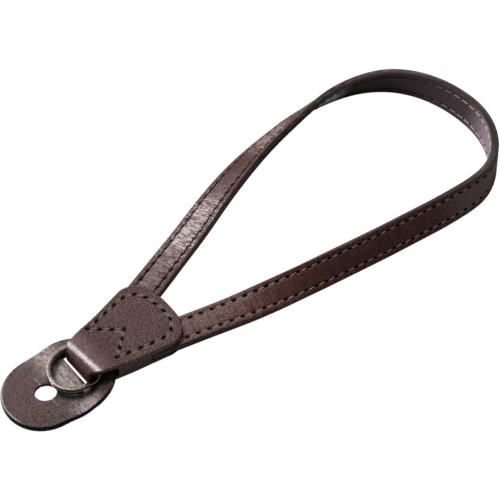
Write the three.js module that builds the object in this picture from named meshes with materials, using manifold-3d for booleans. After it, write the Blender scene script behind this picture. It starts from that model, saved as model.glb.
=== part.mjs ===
// Leather hand strap for a camera, lying on a table. Millimetres, +Z up.
//
// A doubled leather band leaves a stitched tab, twists up on its edge, runs round the hand and comes
// back. The tab is one strip folded through a slot in a flat leather guard, and its fold holds a split ring.
//
// Working frame: the ring hangs round x = 0, y = 0 and the table is z = 0. +X runs from the ring
// to the far end of the loop. The last lines move the whole part so that its box is centred on the origin.

import * as THREE from "three";
import { mergeVertices } from "three/addons/utils/BufferGeometryUtils.js";
import Module from "manifold-3d";

const wasm = await Module();
wasm.setup();

// ---------------------------------------------------------------- driving dimensions

const GAP = 0.25; // clearance between leather faces, and between the ring and its eye

const BAND = {
  width: 11,
  grain: 1.5, // thickness of the outer leather
  lining: 1.05, // thickness of the inner leather
  liningInset: 0.2, // the lining is cut this much narrower on each side
  chamfer: 0.35, // rounded shoulder of the outer leather
  step: 3, // length of one facet along the band
};
const BAND_THICKNESS = BAND.grain + GAP + BAND.lining;

const TAB = {
  back: 1.5, // thickness of the layer under the band
  front: 1.6, // thickness of the layer over the band
  foldFront: 1.4, // x of the outer face of the fold, in the slot
  foldWall: 1.8, // thickness of the leather in the slot
  slotHalf: 6.2, // half width of the neck where it passes the slot
  ridgeX: 5, // the highest line of the fold
  ridgeHalf: 7.9, // half width of the neck at the ridge
  bandRoot: 23.5, // x where the band's two ends are cut off inside the tab
  end: 38.3,
};

const GUARD = {
  thickness: 1.3,
  farX: -1.1, // centre of the end with the slot
  farY: -0.85,
  farRadius: 14.1,
  nearX: -11.2, // centre of the free end; the guard lies a little askew
  nearY: 0.1,
  nearRadius: 13.7,
  lift: 0.9, // the free end is held this far off the table
  spring: 0.5, // and its tip springs up this much more
  holeX: -10.95,
  holeY: -0.35,
  holeRadius: 3.4,
  slitLength: 3, // two short cuts let the hole stretch over a camera's lug
  slitWidth: 0.3,
  slotNear: 0.3, // x where the slot begins
};

const RING = {
  x: 0.6,
  y: -0.35,
  radius: 9, // outside
  wireWidth: 1.5, // radial
  wireHeight: 1.18,
  coilGap: 0.1,
  facet: 7.5, // degrees of one facet
};

// Heights of what lies in the fold, from the table up.
const GUARD_BASE = TAB.back + GAP;
const RING_BASE = GUARD_BASE + GUARD.thickness + GAP;
const RING_TOP = RING_BASE + 2 * RING.wireHeight + RING.coilGap;
const EYE_ROOF = RING_TOP + GAP;
const RIDGE_HEIGHT = EYE_ROOF + TAB.front;
const BAND_BASE = TAB.back + GAP;
const BAND_ROOF = BAND_BASE + BAND_THICKNESS + GAP;
const TAB_HEIGHT = BAND_ROOF + TAB.front;

// The band seen from above, from its left end in the tab round to its right end.
// at: length along the band. heading: direction it runs in, degrees from +X.
// lean: 0 where it lies flat, grain up, and 90 where it stands on its edge, grain outwards.
const ROUTE_START = { x: TAB.bandRoot, y: 5.35 };
const ROUTE = [
  { at: 0, heading: 19.5, lean: 0 },
  { at: 16, heading: 19.5, lean: 0 },
  { at: 30, heading: 21, lean: 6 },
  { at: 48, heading: 21.5, lean: 8 },
  { at: 70, heading: 16.7, lean: 20 },
  { at: 92, heading: 10, lean: 36 },
  { at: 114, heading: 4.2, lean: 50 },
  { at: 128, heading: -5.8, lean: 64 },
  { at: 140, heading: -17.8, lean: 72 },
  { at: 152, heading: -36.2, lean: 83 },
  { at: 164, heading: -60.5, lean: 92 },
  { at: 176, heading: -78.5, lean: 99.5 },
  { at: 188, heading: -93.3, lean: 102 },
  { at: 200, heading: -112.3, lean: 96.5 },
  { at: 212, heading: -133.4, lean: 87 },
  { at: 224, heading: -159, lean: 77.5 },
  { at: 236, heading: -181, lean: 61 },
  { at: 248, heading: -186.5, lean: 53 },
  { at: 272, heading: -188.6, lean: 49 },
  { at: 296, heading: -190.8, lean: 44 },
  { at: 318, heading: -193.1, lean: 21 },
  { at: 335, heading: -194.5, lean: 4 },
  { at: 350, heading: -195, lean: 0 },
  { at: 366, heading: -195, lean: 0 },
];
const ROUTE_LENGTH = ROUTE[ROUTE.length - 1].at;
const FLAT_END = ROUTE[1].at; // the stretch at each end that the tab clamps flat
const DROP_LENGTH = 26; // how gently the band comes down from the tab to the table

// ---------------------------------------------------------------- materials

const grainLeather = new THREE.MeshStandardMaterial({ color: 0x5a4443, roughness: 0.55, metalness: 0 });
const liningLeather = new THREE.MeshStandardMaterial({ color: 0x443537, roughness: 0.6, metalness: 0 });
const tabLeather = new THREE.MeshStandardMaterial({ color: 0x573f3e, roughness: 0.5, metalness: 0 });
const guardLeather = new THREE.MeshStandardMaterial({ color: 0x5c4848, roughness: 0.6, metalness: 0 });
const agedNickel = new THREE.MeshStandardMaterial({ color: 0x8a8072, roughness: 0.3, metalness: 1 });

// ---------------------------------------------------------------- geometry helpers

// A closed, merged mesh becomes a solid that can be joined and cut.
function solidOf(geometry) {
  const bare = geometry.index ? geometry.toNonIndexed() : geometry.clone();
  bare.deleteAttribute("normal");
  bare.deleteAttribute("uv");
  const merged = mergeVertices(bare, 1e-4);
  const mesh = new wasm.Mesh({
    numProp: 3,
    vertProperties: new Float32Array(merged.attributes.position.array),
    triVerts: new Uint32Array(merged.index.array),
  });
  return new wasm.Manifold(mesh);
}

function geometryOf(solid) {
  const mesh = solid.getMesh();
  const geometry = new THREE.BufferGeometry();
  geometry.setAttribute("position", new THREE.BufferAttribute(mesh.vertProperties, 3));
  geometry.setIndex(new THREE.BufferAttribute(mesh.triVerts, 1));
  geometry.computeVertexNormals();
  return geometry;
}

// A shape drawn on the table, raised from z = low to z = high.
function plate(shape, low, high, curveSegments = 24) {
  const geometry = new THREE.ExtrudeGeometry(shape, { depth: high - low, bevelEnabled: false, curveSegments });
  return geometry.translate(0, 0, low);
}

// A shape drawn in x and z, run sideways from y = -half to y = half.
function sideProfile(shape, half, curveSegments = 8) {
  const geometry = new THREE.ExtrudeGeometry(shape, { depth: 2 * half, bevelEnabled: false, curveSegments });
  return geometry.rotateX(Math.PI / 2).translate(0, half, 0);
}

function rectangle(x0, y0, x1, y1) {
  const shape = new THREE.Shape();
  shape.moveTo(x0, y0).lineTo(x1, y0).lineTo(x1, y1).lineTo(x0, y1).closePath();
  return shape;
}

function disc(x, y, radius) {
  const shape = new THREE.Shape();
  shape.absarc(x, y, radius, 0, 2 * Math.PI, false);
  return shape;
}

// Joins rows of points, one row for each station, into one closed body with flat ends. Seen from the
// first row towards the last, each row goes round clockwise. The two halves of a row have their facets'
// diagonals the opposite way, so that facing layers of a twisted band stay parallel.
function skin(rows) {
  const count = rows[0].length;
  const last = (rows.length - 1) * count;
  const positions = rows.flat().flatMap((point) => point.toArray());
  const index = [];
  for (let row = 0; row < rows.length - 1; row += 1) {
    for (let k = 0; k < count; k += 1) {
      const a = row * count + k;
      const b = row * count + ((k + 1) % count);
      if (k < count / 2) index.push(a, b + count, b, a, a + count, b + count);
      else index.push(a, a + count, b, b, a + count, b + count);
    }
  }
  for (let k = 1; k < count - 1; k += 1) {
    index.push(0, k, k + 1);
    index.push(last, last + k + 1, last + k);
  }
  const geometry = new THREE.BufferGeometry();
  geometry.setAttribute("position", new THREE.Float32BufferAttribute(positions, 3));
  geometry.setIndex(index);
  geometry.computeVertexNormals();
  return geometry;
}

// ---------------------------------------------------------------- the band's route

// Slope of one column of the route table at row i, for a smooth curve without overshoot.
function slope(column, i) {
  const before = ROUTE[Math.max(i - 1, 0)];
  const here = ROUTE[i];
  const after = ROUTE[Math.min(i + 1, ROUTE.length - 1)];
  const left = i > 0 ? (here[column] - before[column]) / (here.at - before.at) : null;
  const right = i < ROUTE.length - 1 ? (after[column] - here[column]) / (after.at - here.at) : null;
  if (left === null) return right;
  if (right === null) return left;
  if (left * right <= 0) return 0;
  return (left * (after.at - here.at) + right * (here.at - before.at)) / (after.at - before.at);
}

function routeValue(column, at) {
  let i = ROUTE.findLastIndex((row) => row.at <= at);
  i = Math.min(i, ROUTE.length - 2);
  const span = ROUTE[i + 1].at - ROUTE[i].at;
  const u = (at - ROUTE[i].at) / span;
  const start = (2 * u ** 3 - 3 * u ** 2 + 1) * ROUTE[i][column];
  const end = (3 * u ** 2 - 2 * u ** 3) * ROUTE[i + 1][column];
  const startSlope = (u ** 3 - 2 * u ** 2 + u) * span * slope(column, i);
  const endSlope = (u ** 3 - u ** 2) * span * slope(column, i + 1);
  return start + end + startSlope + endSlope;
}

// How far the middle of the band is above the table: its lower edge rests there, except near the tab.
function routeHeight(at, lean) {
  const resting = (BAND.width / 2) * Math.sin(lean) + (BAND_THICKNESS / 2) * Math.abs(Math.cos(lean));
  const fromTab = Math.max(Math.min(at, ROUTE_LENGTH - at) - FLAT_END, 0);
  return resting + BAND_BASE * Math.exp(-((fromTab / DROP_LENGTH) ** 2));
}

// Stations along the band: the middle point, the way across it (towards the inside of the loop, and
// up where it stands) and the way out of its grain face.
function routeStations() {
  const stations = [];
  const count = Math.round(ROUTE_LENGTH / BAND.step);
  const fine = 6; // short steps between stations keep the path true
  const stride = ROUTE_LENGTH / count / fine;
  let x = ROUTE_START.x;
  let y = ROUTE_START.y;
  for (let i = 0; i <= count * fine; i += 1) {
    const at = i * stride;
    const heading = THREE.MathUtils.degToRad(routeValue("heading", at));
    if (i % fine === 0) {
      const lean = THREE.MathUtils.degToRad(routeValue("lean", at));
      const inward = new THREE.Vector3(Math.sin(heading), -Math.cos(heading), 0);
      const up = new THREE.Vector3(0, 0, 1);
      const across = inward.clone().multiplyScalar(Math.cos(lean)).addScaledVector(up, Math.sin(lean));
      const out = inward.clone().multiplyScalar(-Math.sin(lean)).addScaledVector(up, Math.cos(lean));
      stations.push({ middle: new THREE.Vector3(x, y, routeHeight(at, lean)), across, out });
    }
    const halfway = THREE.MathUtils.degToRad(routeValue("heading", Math.min(at + stride / 2, ROUTE_LENGTH)));
    x += stride * Math.cos(halfway);
    y += stride * Math.sin(halfway);
  }
  return stations;
}

// One leather layer of the band. Its section is measured from the band's middle: low and high are
// the layer's two faces, and shoulder rounds the edges of the high face.
function bandLayer(stations, halfWidth, low, high, shoulder) {
  const section = [
    { across: -halfWidth, out: low },
    { across: halfWidth, out: low },
    { across: halfWidth, out: high - shoulder },
    { across: halfWidth - shoulder, out: high },
    { across: -halfWidth + shoulder, out: high },
    { across: -halfWidth, out: high - shoulder },
  ];
  const corner = (station, p) =>
    station.middle.clone().addScaledVector(station.across, p.across).addScaledVector(station.out, p.out);
  return skin(stations.map((station) => section.map((p) => corner(station, p))));
}

// ---------------------------------------------------------------- the tab

// The tab from above: a neck that widens to a broad end with round corners.
function tabOutline() {
  const shape = new THREE.Shape();
  shape.moveTo(TAB.foldFront, -TAB.slotHalf);
  shape.lineTo(TAB.foldFront + 0.9, -TAB.slotHalf);
  shape.quadraticCurveTo(TAB.ridgeX - 1.8, -TAB.ridgeHalf, TAB.ridgeX, -TAB.ridgeHalf);
  shape.lineTo(10, -9.35);
  shape.lineTo(29.5, -14.3);
  shape.quadraticCurveTo(36.2, -14.8, 37.8, -7.2);
  shape.quadraticCurveTo(TAB.end + 0.3, 0, 37.8, 7.2);
  shape.quadraticCurveTo(36.2, 14.8, 29.5, 14.3);
  shape.lineTo(10, 9.35);
  shape.lineTo(TAB.ridgeX, TAB.ridgeHalf);
  shape.quadraticCurveTo(TAB.ridgeX - 1.8, TAB.ridgeHalf, TAB.foldFront + 0.9, TAB.slotHalf);
  shape.lineTo(TAB.foldFront, TAB.slotHalf);
  shape.closePath();
  return shape;
}

// The tab from the side: up round the fold, over the ridge and down to the even thickness of the rest.
function tabSide() {
  const shape = new THREE.Shape();
  shape.moveTo(TAB.end + 1, 0);
  shape.lineTo(TAB.end + 1, TAB_HEIGHT);
  shape.lineTo(19, TAB_HEIGHT);
  shape.bezierCurveTo(14, TAB_HEIGHT, 10, RIDGE_HEIGHT, TAB.ridgeX + 0.6, RIDGE_HEIGHT);
  shape.bezierCurveTo(3.5, RIDGE_HEIGHT, 2.2, 6.9, 1.7, 5.4);
  shape.lineTo(TAB.foldFront, 3.2);
  shape.lineTo(TAB.foldFront, 1.4);
  shape.quadraticCurveTo(TAB.foldFront, 0, TAB.foldFront + 1.4, 0);
  shape.closePath();
  return shape;
}

// The hollow of the fold, where the guard and the ring lie.
function eyeSide() {
  const inside = TAB.foldFront + TAB.foldWall;
  const shape = new THREE.Shape();
  shape.moveTo(inside, TAB.back);
  shape.lineTo(16, TAB.back);
  shape.lineTo(16, BAND_ROOF);
  shape.lineTo(13.5, BAND_ROOF);
  shape.lineTo(10.2, EYE_ROOF);
  shape.lineTo(inside + 0.6, EYE_ROOF);
  shape.lineTo(inside, EYE_ROOF - 0.8);
  shape.closePath();
  return shape;
}

// The strip is narrower where it passes the slot and the ring than it is over the ridge.
function neckNotch(side) {
  const near = side * TAB.slotHalf;
  const far = side * (TAB.ridgeHalf + 1);
  const notch = rectangle(0, Math.min(near, far), TAB.foldFront + 2.3, Math.max(near, far));
  return solidOf(plate(notch, -1, EYE_ROOF));
}

// Room for one flat end of the band: a straight channel of its width, open towards the loop.
function bandChannel(first, second) {
  const half = BAND.width / 2 + GAP;
  const along = second.middle.clone().sub(first.middle).setZ(0).normalize();
  const side = first.across.clone().setZ(0).normalize();
  const back = first.middle.clone().addScaledVector(along, -GAP);
  const front = first.middle.clone().addScaledVector(along, 26);
  const corners = [
    back.clone().addScaledVector(side, -half),
    back.clone().addScaledVector(side, half),
    front.clone().addScaledVector(side, half),
    front.clone().addScaledVector(side, -half),
  ];
  const shape = new THREE.Shape(corners.map((c) => new THREE.Vector2(c.x, c.y)));
  return solidOf(plate(shape, TAB.back, BAND_ROOF));
}

function tabShield(stations) {
  const last = stations.length - 1;
  const outline = solidOf(plate(tabOutline(), 0, RIDGE_HEIGHT + 1));
  const side = solidOf(sideProfile(tabSide(), 20));
  const eye = solidOf(sideProfile(eyeSide(), 20));
  const roomRadius = GUARD.farRadius + 2 * GAP;
  const guardRoom = solidOf(plate(disc(GUARD.farX, GUARD.farY, roomRadius), 0, RIDGE_HEIGHT, 48));
  const channels = bandChannel(stations[0], stations[1]).add(bandChannel(stations[last], stations[last - 1]));
  const rooms = eye.intersect(guardRoom).add(channels).add(neckNotch(-1)).add(neckNotch(1));
  return geometryOf(outline.intersect(side).subtract(rooms));
}

// ---------------------------------------------------------------- the guard

// Two round ends joined by straight sides.
function guardOutline() {
  const { farX, farY, farRadius, nearX, nearY, nearRadius } = GUARD;
  const quarter = Math.PI / 2;
  const shape = new THREE.Shape();
  shape.absarc(farX, farY, farRadius, -quarter, quarter, false);
  shape.absarc(nearX, nearY, nearRadius, quarter, 3 * quarter, false);
  shape.closePath();
  return shape;
}

// From the side the guard lies on the back of the tab, steps down in front of the fold and reaches out
// over the table with its tip sprung up a little.
function guardSide() {
  const tip = GUARD.nearX - GUARD.nearRadius - 1;
  const farEnd = GUARD.farX + GUARD.farRadius + 1;
  const edge = (rise) => {
    const high = GUARD_BASE + rise;
    const low = GUARD.lift + rise;
    return { high, low, tip: low + GUARD.spring };
  };
  const under = edge(0);
  const over = edge(GUARD.thickness);
  const shape = new THREE.Shape();
  shape.moveTo(tip, under.tip);
  shape.bezierCurveTo(-19, under.low, -14, under.low, -8, under.low);
  shape.bezierCurveTo(-4, under.low, -1.6, under.high, TAB.foldFront, under.high);
  shape.lineTo(farEnd, under.high);
  shape.lineTo(farEnd, over.high);
  shape.lineTo(TAB.foldFront, over.high);
  shape.bezierCurveTo(-1.6, over.high, -4, over.low, -8, over.low);
  shape.bezierCurveTo(-14, over.low, -19, over.low, tip, over.tip);
  shape.closePath();
  return shape;
}

function cameraGuard() {
  const sheet = solidOf(sideProfile(guardSide(), 20, 14)).intersect(solidOf(plate(guardOutline(), -1, 5, 40)));
  const { holeX, holeY, holeRadius, slitWidth } = GUARD;
  const hole = solidOf(plate(disc(holeX, holeY, holeRadius), -1, 5, 32));
  const reach = holeRadius + GUARD.slitLength;
  const slits = rectangle(holeX - slitWidth / 2, holeY - reach, holeX + slitWidth / 2, holeY + reach);
  const slotFar = TAB.foldFront + TAB.foldWall + GAP;
  const slotHalf = TAB.slotHalf + GAP;
  const slot = rectangle(GUARD.slotNear, -slotHalf, slotFar, slotHalf);
  const openings = hole.add(solidOf(plate(slits, -1, 5))).add(solidOf(plate(slot, -1, 5)));
  return geometryOf(sheet.subtract(openings));
}

// ---------------------------------------------------------------- the ring

// Flat wire wound nearly twice round, from the upper cut end down to the lower one. Each turn lies
// level, and the wire drops from the upper turn to the lower one in a short step between the two ends.
function splitRing() {
  const dropTurns = { start: 324, end: 356 };
  const wireEnd = 360 + dropTurns.start - 6;
  const rise = RING.wireHeight + RING.coilGap;
  const upperEnd = 295; // degrees round from +X
  const rows = [];
  const steps = Math.round(wireEnd / RING.facet);
  for (let i = 0; i <= steps; i += 1) {
    const turned = (wireEnd * i) / steps;
    const drop = THREE.MathUtils.smoothstep(turned, dropTurns.start, dropTurns.end);
    const angle = THREE.MathUtils.degToRad(upperEnd + turned);
    const out = new THREE.Vector3(Math.cos(angle), Math.sin(angle), 0);
    const low = RING_BASE + rise * (1 - drop);
    const high = low + RING.wireHeight;
    const inner = RING.radius - RING.wireWidth;
    const shoulder = 0.3;
    const section = [
      { r: inner, z: low },
      { r: RING.radius - shoulder, z: low },
      { r: RING.radius, z: low + shoulder },
      { r: RING.radius, z: high - shoulder },
      { r: RING.radius - shoulder, z: high },
      { r: inner, z: high },
    ];
    rows.push(section.map((p) => new THREE.Vector3(RING.x + out.x * p.r, RING.y + out.y * p.r, p.z)));
  }
  return skin(rows);
}

// ---------------------------------------------------------------- assembly

const strap = new THREE.Group();

function addPiece(name, geometry, material) {
  const mesh = new THREE.Mesh(geometry, material);
  mesh.name = name;
  strap.add(mesh);
}

const stations = routeStations();
const grainLow = BAND_THICKNESS / 2 - BAND.grain;
const liningHigh = BAND.lining - BAND_THICKNESS / 2;
const outerLayer = bandLayer(stations, BAND.width / 2, grainLow, BAND_THICKNESS / 2, BAND.chamfer);
const innerLayer = bandLayer(stations, BAND.width / 2 - BAND.liningInset, -BAND_THICKNESS / 2, liningHigh, 0.1);

addPiece("loop_outer", outerLayer, grainLeather);
addPiece("loop_lining", innerLayer, liningLeather);
addPiece("tab_shield", tabShield(stations), tabLeather);
addPiece("camera_guard", cameraGuard(), guardLeather);
addPiece("split_ring", splitRing(), agedNickel);

// The origin goes to the middle of the part's box, on the table.
const box = new THREE.Box3().setFromObject(strap);
const centre = box.getCenter(new THREE.Vector3());
strap.position.set(-centre.x, -centre.y, -box.min.z);

export default strap;
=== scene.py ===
# %% [markdown]
# # A leather hand strap for a camera
# The strap is a doubled leather band, stitched along both edges, whose two ends are held in a folded
# tab. The fold carries a split ring and a flat guard that keeps the ring off the camera. The solid
# model gives each piece its place and size. Here each piece gets its real surface: rounded and painted
# edges, sunk stitches, creases and grain.

import math

import bmesh
import bpy
import numpy as np
from mathutils import Matrix, Vector, noise


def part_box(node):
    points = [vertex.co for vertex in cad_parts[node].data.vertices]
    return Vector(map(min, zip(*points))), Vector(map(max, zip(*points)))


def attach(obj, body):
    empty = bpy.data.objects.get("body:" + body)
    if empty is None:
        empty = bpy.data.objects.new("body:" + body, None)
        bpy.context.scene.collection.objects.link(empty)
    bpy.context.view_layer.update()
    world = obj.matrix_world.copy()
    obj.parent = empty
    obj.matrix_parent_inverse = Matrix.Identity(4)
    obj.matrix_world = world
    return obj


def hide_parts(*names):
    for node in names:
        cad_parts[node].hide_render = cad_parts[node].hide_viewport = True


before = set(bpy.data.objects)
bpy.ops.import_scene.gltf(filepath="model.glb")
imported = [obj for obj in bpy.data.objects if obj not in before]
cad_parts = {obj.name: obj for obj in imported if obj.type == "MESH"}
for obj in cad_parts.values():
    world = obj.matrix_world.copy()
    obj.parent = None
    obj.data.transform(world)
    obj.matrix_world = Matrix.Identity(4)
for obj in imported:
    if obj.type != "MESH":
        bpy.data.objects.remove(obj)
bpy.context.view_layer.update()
print("the solid model holds", sorted(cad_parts))

# %% [markdown]
# ## Where things are
# A strap is easiest to describe from its fold: the zero point is 1.4 mm in front of the fold, in the
# middle of the tab, +X runs along the tab to the far end of the loop, and heights are measured from the
# table, all in millimetres. Pieces are shaped on this bench, and settle() then moves them into the
# model's frame, in metres. The bench's place comes from the solid tab, so nothing is fitted by eye.

# %% The bench
MM = 0.001
FOLD_FRONT = 1.4
tab_low, tab_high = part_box("tab_shield")
BENCH = Vector((tab_low.x - FOLD_FRONT * MM, (tab_low.y + tab_high.y) / 2, 0.0))


def spot(x, y, z):
    """A place on the bench, in millimetres, as a place in the model, in metres."""
    return BENCH + Vector((x, y, z)) * MM


print("the bench's zero point is at", [round(c, 5) for c in BENCH])

# %% [markdown]
# ## The camera
# The camera looks down at the strap from in front of the tab, with the loop running away to the upper
# right. It could be turned by three angles, but a target, a direction and a distance are easier to
# change one at a time. A long lens from 40 cm keeps the band's two legs nearly parallel.

# %% Camera
VIEW_TARGET = spot(77.0, 2.7, 0.0)
VIEW_TURN = math.radians(40.57)
VIEW_DROP = math.radians(51.37)
VIEW_DISTANCE = 0.3978
view_axis = Vector(
    (
        math.sin(VIEW_TURN) * math.cos(VIEW_DROP),
        math.cos(VIEW_TURN) * math.cos(VIEW_DROP),
        -math.sin(VIEW_DROP),
    )
)
bpy.ops.object.camera_add(location=VIEW_TARGET - view_axis * VIEW_DISTANCE)
camera = bpy.context.object
camera.name = "camera"
camera.rotation_euler = view_axis.to_track_quat("-Z", "Y").to_euler()
camera.data.lens = 81.5
camera.data.sensor_width = 36.0
camera.data.clip_start = 0.01
camera.data.clip_end = 20.0
bpy.context.scene.camera = camera
print("the camera is", round(camera.location.z * 1000), "mm above the table")

# %% [markdown]
# ## Shader sums
# A finish is easier to read as a sum than as a net of nodes. Amount wraps one number socket, and its
# operators add Math nodes. Recipe holds one material. It is built up in three steps: its nodes, the
# patterns that grow from places on a piece, and the colours that are laid over each other. The node()
# method makes any node from its type, its settings and the values or links of its sockets.


# %% Amounts
class Amount:
    """A number that changes over a surface. Sums of amounts add Math nodes."""

    def __init__(self, recipe, socket):
        self.recipe = recipe
        self.socket = socket

    def maths(self, operation, *terms):
        inputs = dict(enumerate(terms))
        return Amount(self.recipe, self.recipe.node("Math", {"operation": operation}, inputs).outputs[0])

    def __add__(self, other):
        return self.maths("ADD", self, other)

    def __sub__(self, other):
        return self.maths("SUBTRACT", self, other)

    def __mul__(self, other):
        return self.maths("MULTIPLY", self, other)

    def __truediv__(self, other):
        return self.maths("DIVIDE", self, other)

    def __pow__(self, other):
        return self.maths("POWER", self, other)

    def __rsub__(self, other):
        return self.maths("SUBTRACT", other, self)

    def __rtruediv__(self, other):
        return self.maths("DIVIDE", other, self)

    __radd__ = __add__
    __rmul__ = __mul__

    def of(self, operation):
        """This amount's SINE, SIGN, FRACT and so on."""
        return self.maths(operation, self)

    def size(self):
        """How far this amount is from 0, on either side."""
        return self.of("ABSOLUTE")

    def rise(self, low, high):
        """0 below low, 1 above high, and smooth between them."""
        settings = {"interpolation_type": "SMOOTHSTEP"}
        inputs = {"Value": self, "From Min": low, "From Max": high}
        return Amount(self.recipe, self.recipe.node("MapRange", settings, inputs).outputs[0])


print("amounts can be added, multiplied and smoothed")


# %% Nodes of a material
class Nodes:
    """One material, and the method that adds any node to it."""

    def __init__(self, name):
        self.material = bpy.data.materials.new(name)
        self.material.use_nodes = True
        self.tree = self.material.node_tree
        self.tree.nodes.clear()

    def node(self, kind, settings=None, inputs=None):
        made = self.tree.nodes.new("ShaderNode" + kind)
        for name, value in (settings or {}).items():
            setattr(made, name, value)
        for name, value in (inputs or {}).items():
            value = getattr(value, "socket", value)
            if isinstance(value, bpy.types.NodeSocket):
                self.tree.links.new(value, made.inputs[name])
            else:
                made.inputs[name].default_value = value
        return made


print("nodes are linked as they are made")


# %% Patterns
class Patterns(Nodes):
    """Places on a piece, and the patterns that grow from them."""

    def bench_place(self):
        """Where a point was on the bench before its piece was bent, in millimetres."""
        return self.node("Attribute", {"attribute_name": "bench"}).outputs["Vector"]

    def mark(self, name):
        """A mark that was put on the piece's points, from 0 to 1."""
        return Amount(self, self.node("Attribute", {"attribute_name": name}).outputs["Fac"])

    def axes(self, place):
        parts = self.node("SeparateXYZ", None, {0: place}).outputs
        return [Amount(self, part) for part in parts]

    def stretch(self, place, factors):
        """A place whose pattern is drawn out where a factor is below 1."""
        return self.node("Mapping", {"vector_type": "POINT"}, {"Vector": place, "Scale": factors}).outputs[0]

    def cloud(self, place, scale, detail=3.0, rough=0.5, warp=0.0):
        inputs = {"Vector": place, "Scale": scale, "Detail": detail, "Roughness": rough, "Distortion": warp}
        return Amount(self, self.node("TexNoise", None, inputs).outputs[0])

    def cells(self, place, scale, feature="F1", smooth=0.0):
        settings = {"feature": feature}
        inputs = {"Vector": place, "Scale": scale}
        if smooth:
            inputs["Smoothness"] = smooth
        return Amount(self, self.node("TexVoronoi", settings, inputs).outputs["Distance"])


print("a pattern can be a cloud, cells or a mark")


# %% Recipes
def colour4(value):
    """A colour as a socket takes it. A link is passed on as it is."""
    return (*value, 1.0) if isinstance(value, tuple) else value


class Recipe(Patterns):
    """One finish: colours laid over each other, with their gloss and relief."""

    def mix(self, amount, under, over):
        """The colour under, covered by the colour over as far as amount says."""
        settings = {"data_type": "RGBA"}
        mixed = self.node("Mix", settings, {0: amount, 6: colour4(under), 7: colour4(over)})
        return mixed.outputs[2]

    def coat(self, piece, colour, roughness, height, depth, shine=0.5, metallic=0.0):
        """Ends the recipe in one shader, and gives the material to its piece. height is the relief,
        and depth is how deep in metres it goes."""
        relief = self.node("Bump", None, {"Height": height, "Distance": depth, "Strength": 1.0})
        inputs = {
            "Base Color": colour,
            "Roughness": roughness,
            "Normal": relief.outputs[0],
            "Specular IOR Level": shine,
            "Metallic": metallic,
        }
        shader = self.node("BsdfPrincipled", None, inputs)
        self.node("OutputMaterial", None, {"Surface": shader.outputs[0]})
        piece.data.materials.append(self.material)
        print("coated", piece.name, "with", self.material.name)


print("recipes are ready")

# %% [markdown]
# ## The floor and the light
# The strap lies on a white table that is lit so hard that the camera sees no shade on it, while the
# leather mirrors a duller, shaded table. One white floor could not do both, so its shader asks whether
# a ray comes straight from the camera. A small softbox stands behind the strap, and picks out the fold
# and the bend of the guard. A wider, weaker one stands lower, and puts the sheen on the left leg. The
# room is dim, so that leather that lies flat keeps its deep brown.

# %% Floor
bpy.ops.mesh.primitive_plane_add(size=8.0, location=(0.0, 0.0, 0.0))
floor = bpy.context.object
floor.name = "floor"
table_top = Recipe("white_table")
bright_top = table_top.node("Emission", None, {"Color": (1.0, 1.0, 1.0, 1.0), "Strength": 1.02})
dull_top = table_top.node("BsdfDiffuse", None, {"Color": (0.36, 0.35, 0.36, 1.0)})
seen = table_top.node("LightPath").outputs["Is Camera Ray"]
either = table_top.node("MixShader", None, {0: seen, 1: dull_top.outputs[0], 2: bright_top.outputs[0]})
table_top.node("OutputMaterial", None, {"Surface": either.outputs[0]})
floor.data.materials.append(table_top.material)
print("the table is", round(floor.dimensions.x), "m wide")

# %% Lights
STUDIO_LIGHTS = [
    # name, compass turn from +Y towards -X, height, distance, size, brightness, colour
    ("key_softbox", 8.0, 58.0, 0.95, 0.32, 16.0, (1.0, 0.985, 0.975)),
    ("back_glow", -22.0, 39.5, 1.2, 0.42, 10.0, (0.99, 0.99, 1.0)),
    ("left_strip", 62.0, 16.0, 1.2, 0.34, 7.0, (1.0, 1.0, 1.0)),
]
for name, turn, rise, away, size, brightness, colour in STUDIO_LIGHTS:
    turn, rise = math.radians(turn), math.radians(rise)
    way = Vector((-math.sin(turn) * math.cos(rise), math.cos(turn) * math.cos(rise), math.sin(rise)))
    bpy.ops.object.light_add(type="AREA", location=way * away)
    lamp = bpy.context.object
    lamp.name = name
    lamp.rotation_euler = (-way).to_track_quat("-Z", "Y").to_euler()
    lamp.data.shape = "SQUARE"
    lamp.data.size = size
    lamp.data.energy = brightness * math.pi * size * size
    lamp.data.color = colour
    print("lit", name)

# %% Room
room = bpy.data.worlds.new("studio_room")
bpy.context.scene.world = room
room.use_nodes = True
nodes, links = room.node_tree.nodes, room.node_tree.links
where = nodes.new("ShaderNodeTexCoord")
towards_light = nodes.new("ShaderNodeVectorMath")
towards_light.operation = "DOT_PRODUCT"
towards_light.inputs[1].default_value = (0.25, 0.85, 0.35)
wall_light = nodes.new("ShaderNodeMapRange")
wall_light.inputs["From Min"].default_value = -0.7
wall_light.inputs["From Max"].default_value = 0.9
wall_light.inputs["To Min"].default_value = 0.10
wall_light.inputs["To Max"].default_value = 0.42
links.new(where.outputs["Generated"], towards_light.inputs[0])
links.new(towards_light.outputs["Value"], wall_light.inputs["Value"])
links.new(wall_light.outputs[0], nodes["Background"].inputs["Strength"])
nodes["Background"].inputs["Color"].default_value = (1.0, 1.0, 1.0, 1.0)
bpy.context.scene.view_settings.view_transform = "Standard"
print("the room is dim behind the camera")

# %% [markdown]
# ## Bench tools
# Every piece starts from a primitive. An operator acts on all that is selected, so clear_bench() comes
# first, and pick() then selects points, edges or faces by their place. Modifiers are applied at once,
# so that the next step sees the finished points.


# %% Selecting
def clear_bench():
    if bpy.context.mode != "OBJECT":
        bpy.ops.object.mode_set(mode="OBJECT")
    bpy.ops.object.select_all(action="DESELECT")


def take(piece):
    """Makes a piece the only selected one."""
    clear_bench()
    bpy.context.view_layer.objects.active = piece
    piece.select_set(True)


def edit(piece):
    take(piece)
    bpy.ops.object.mode_set(mode="EDIT")


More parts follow.
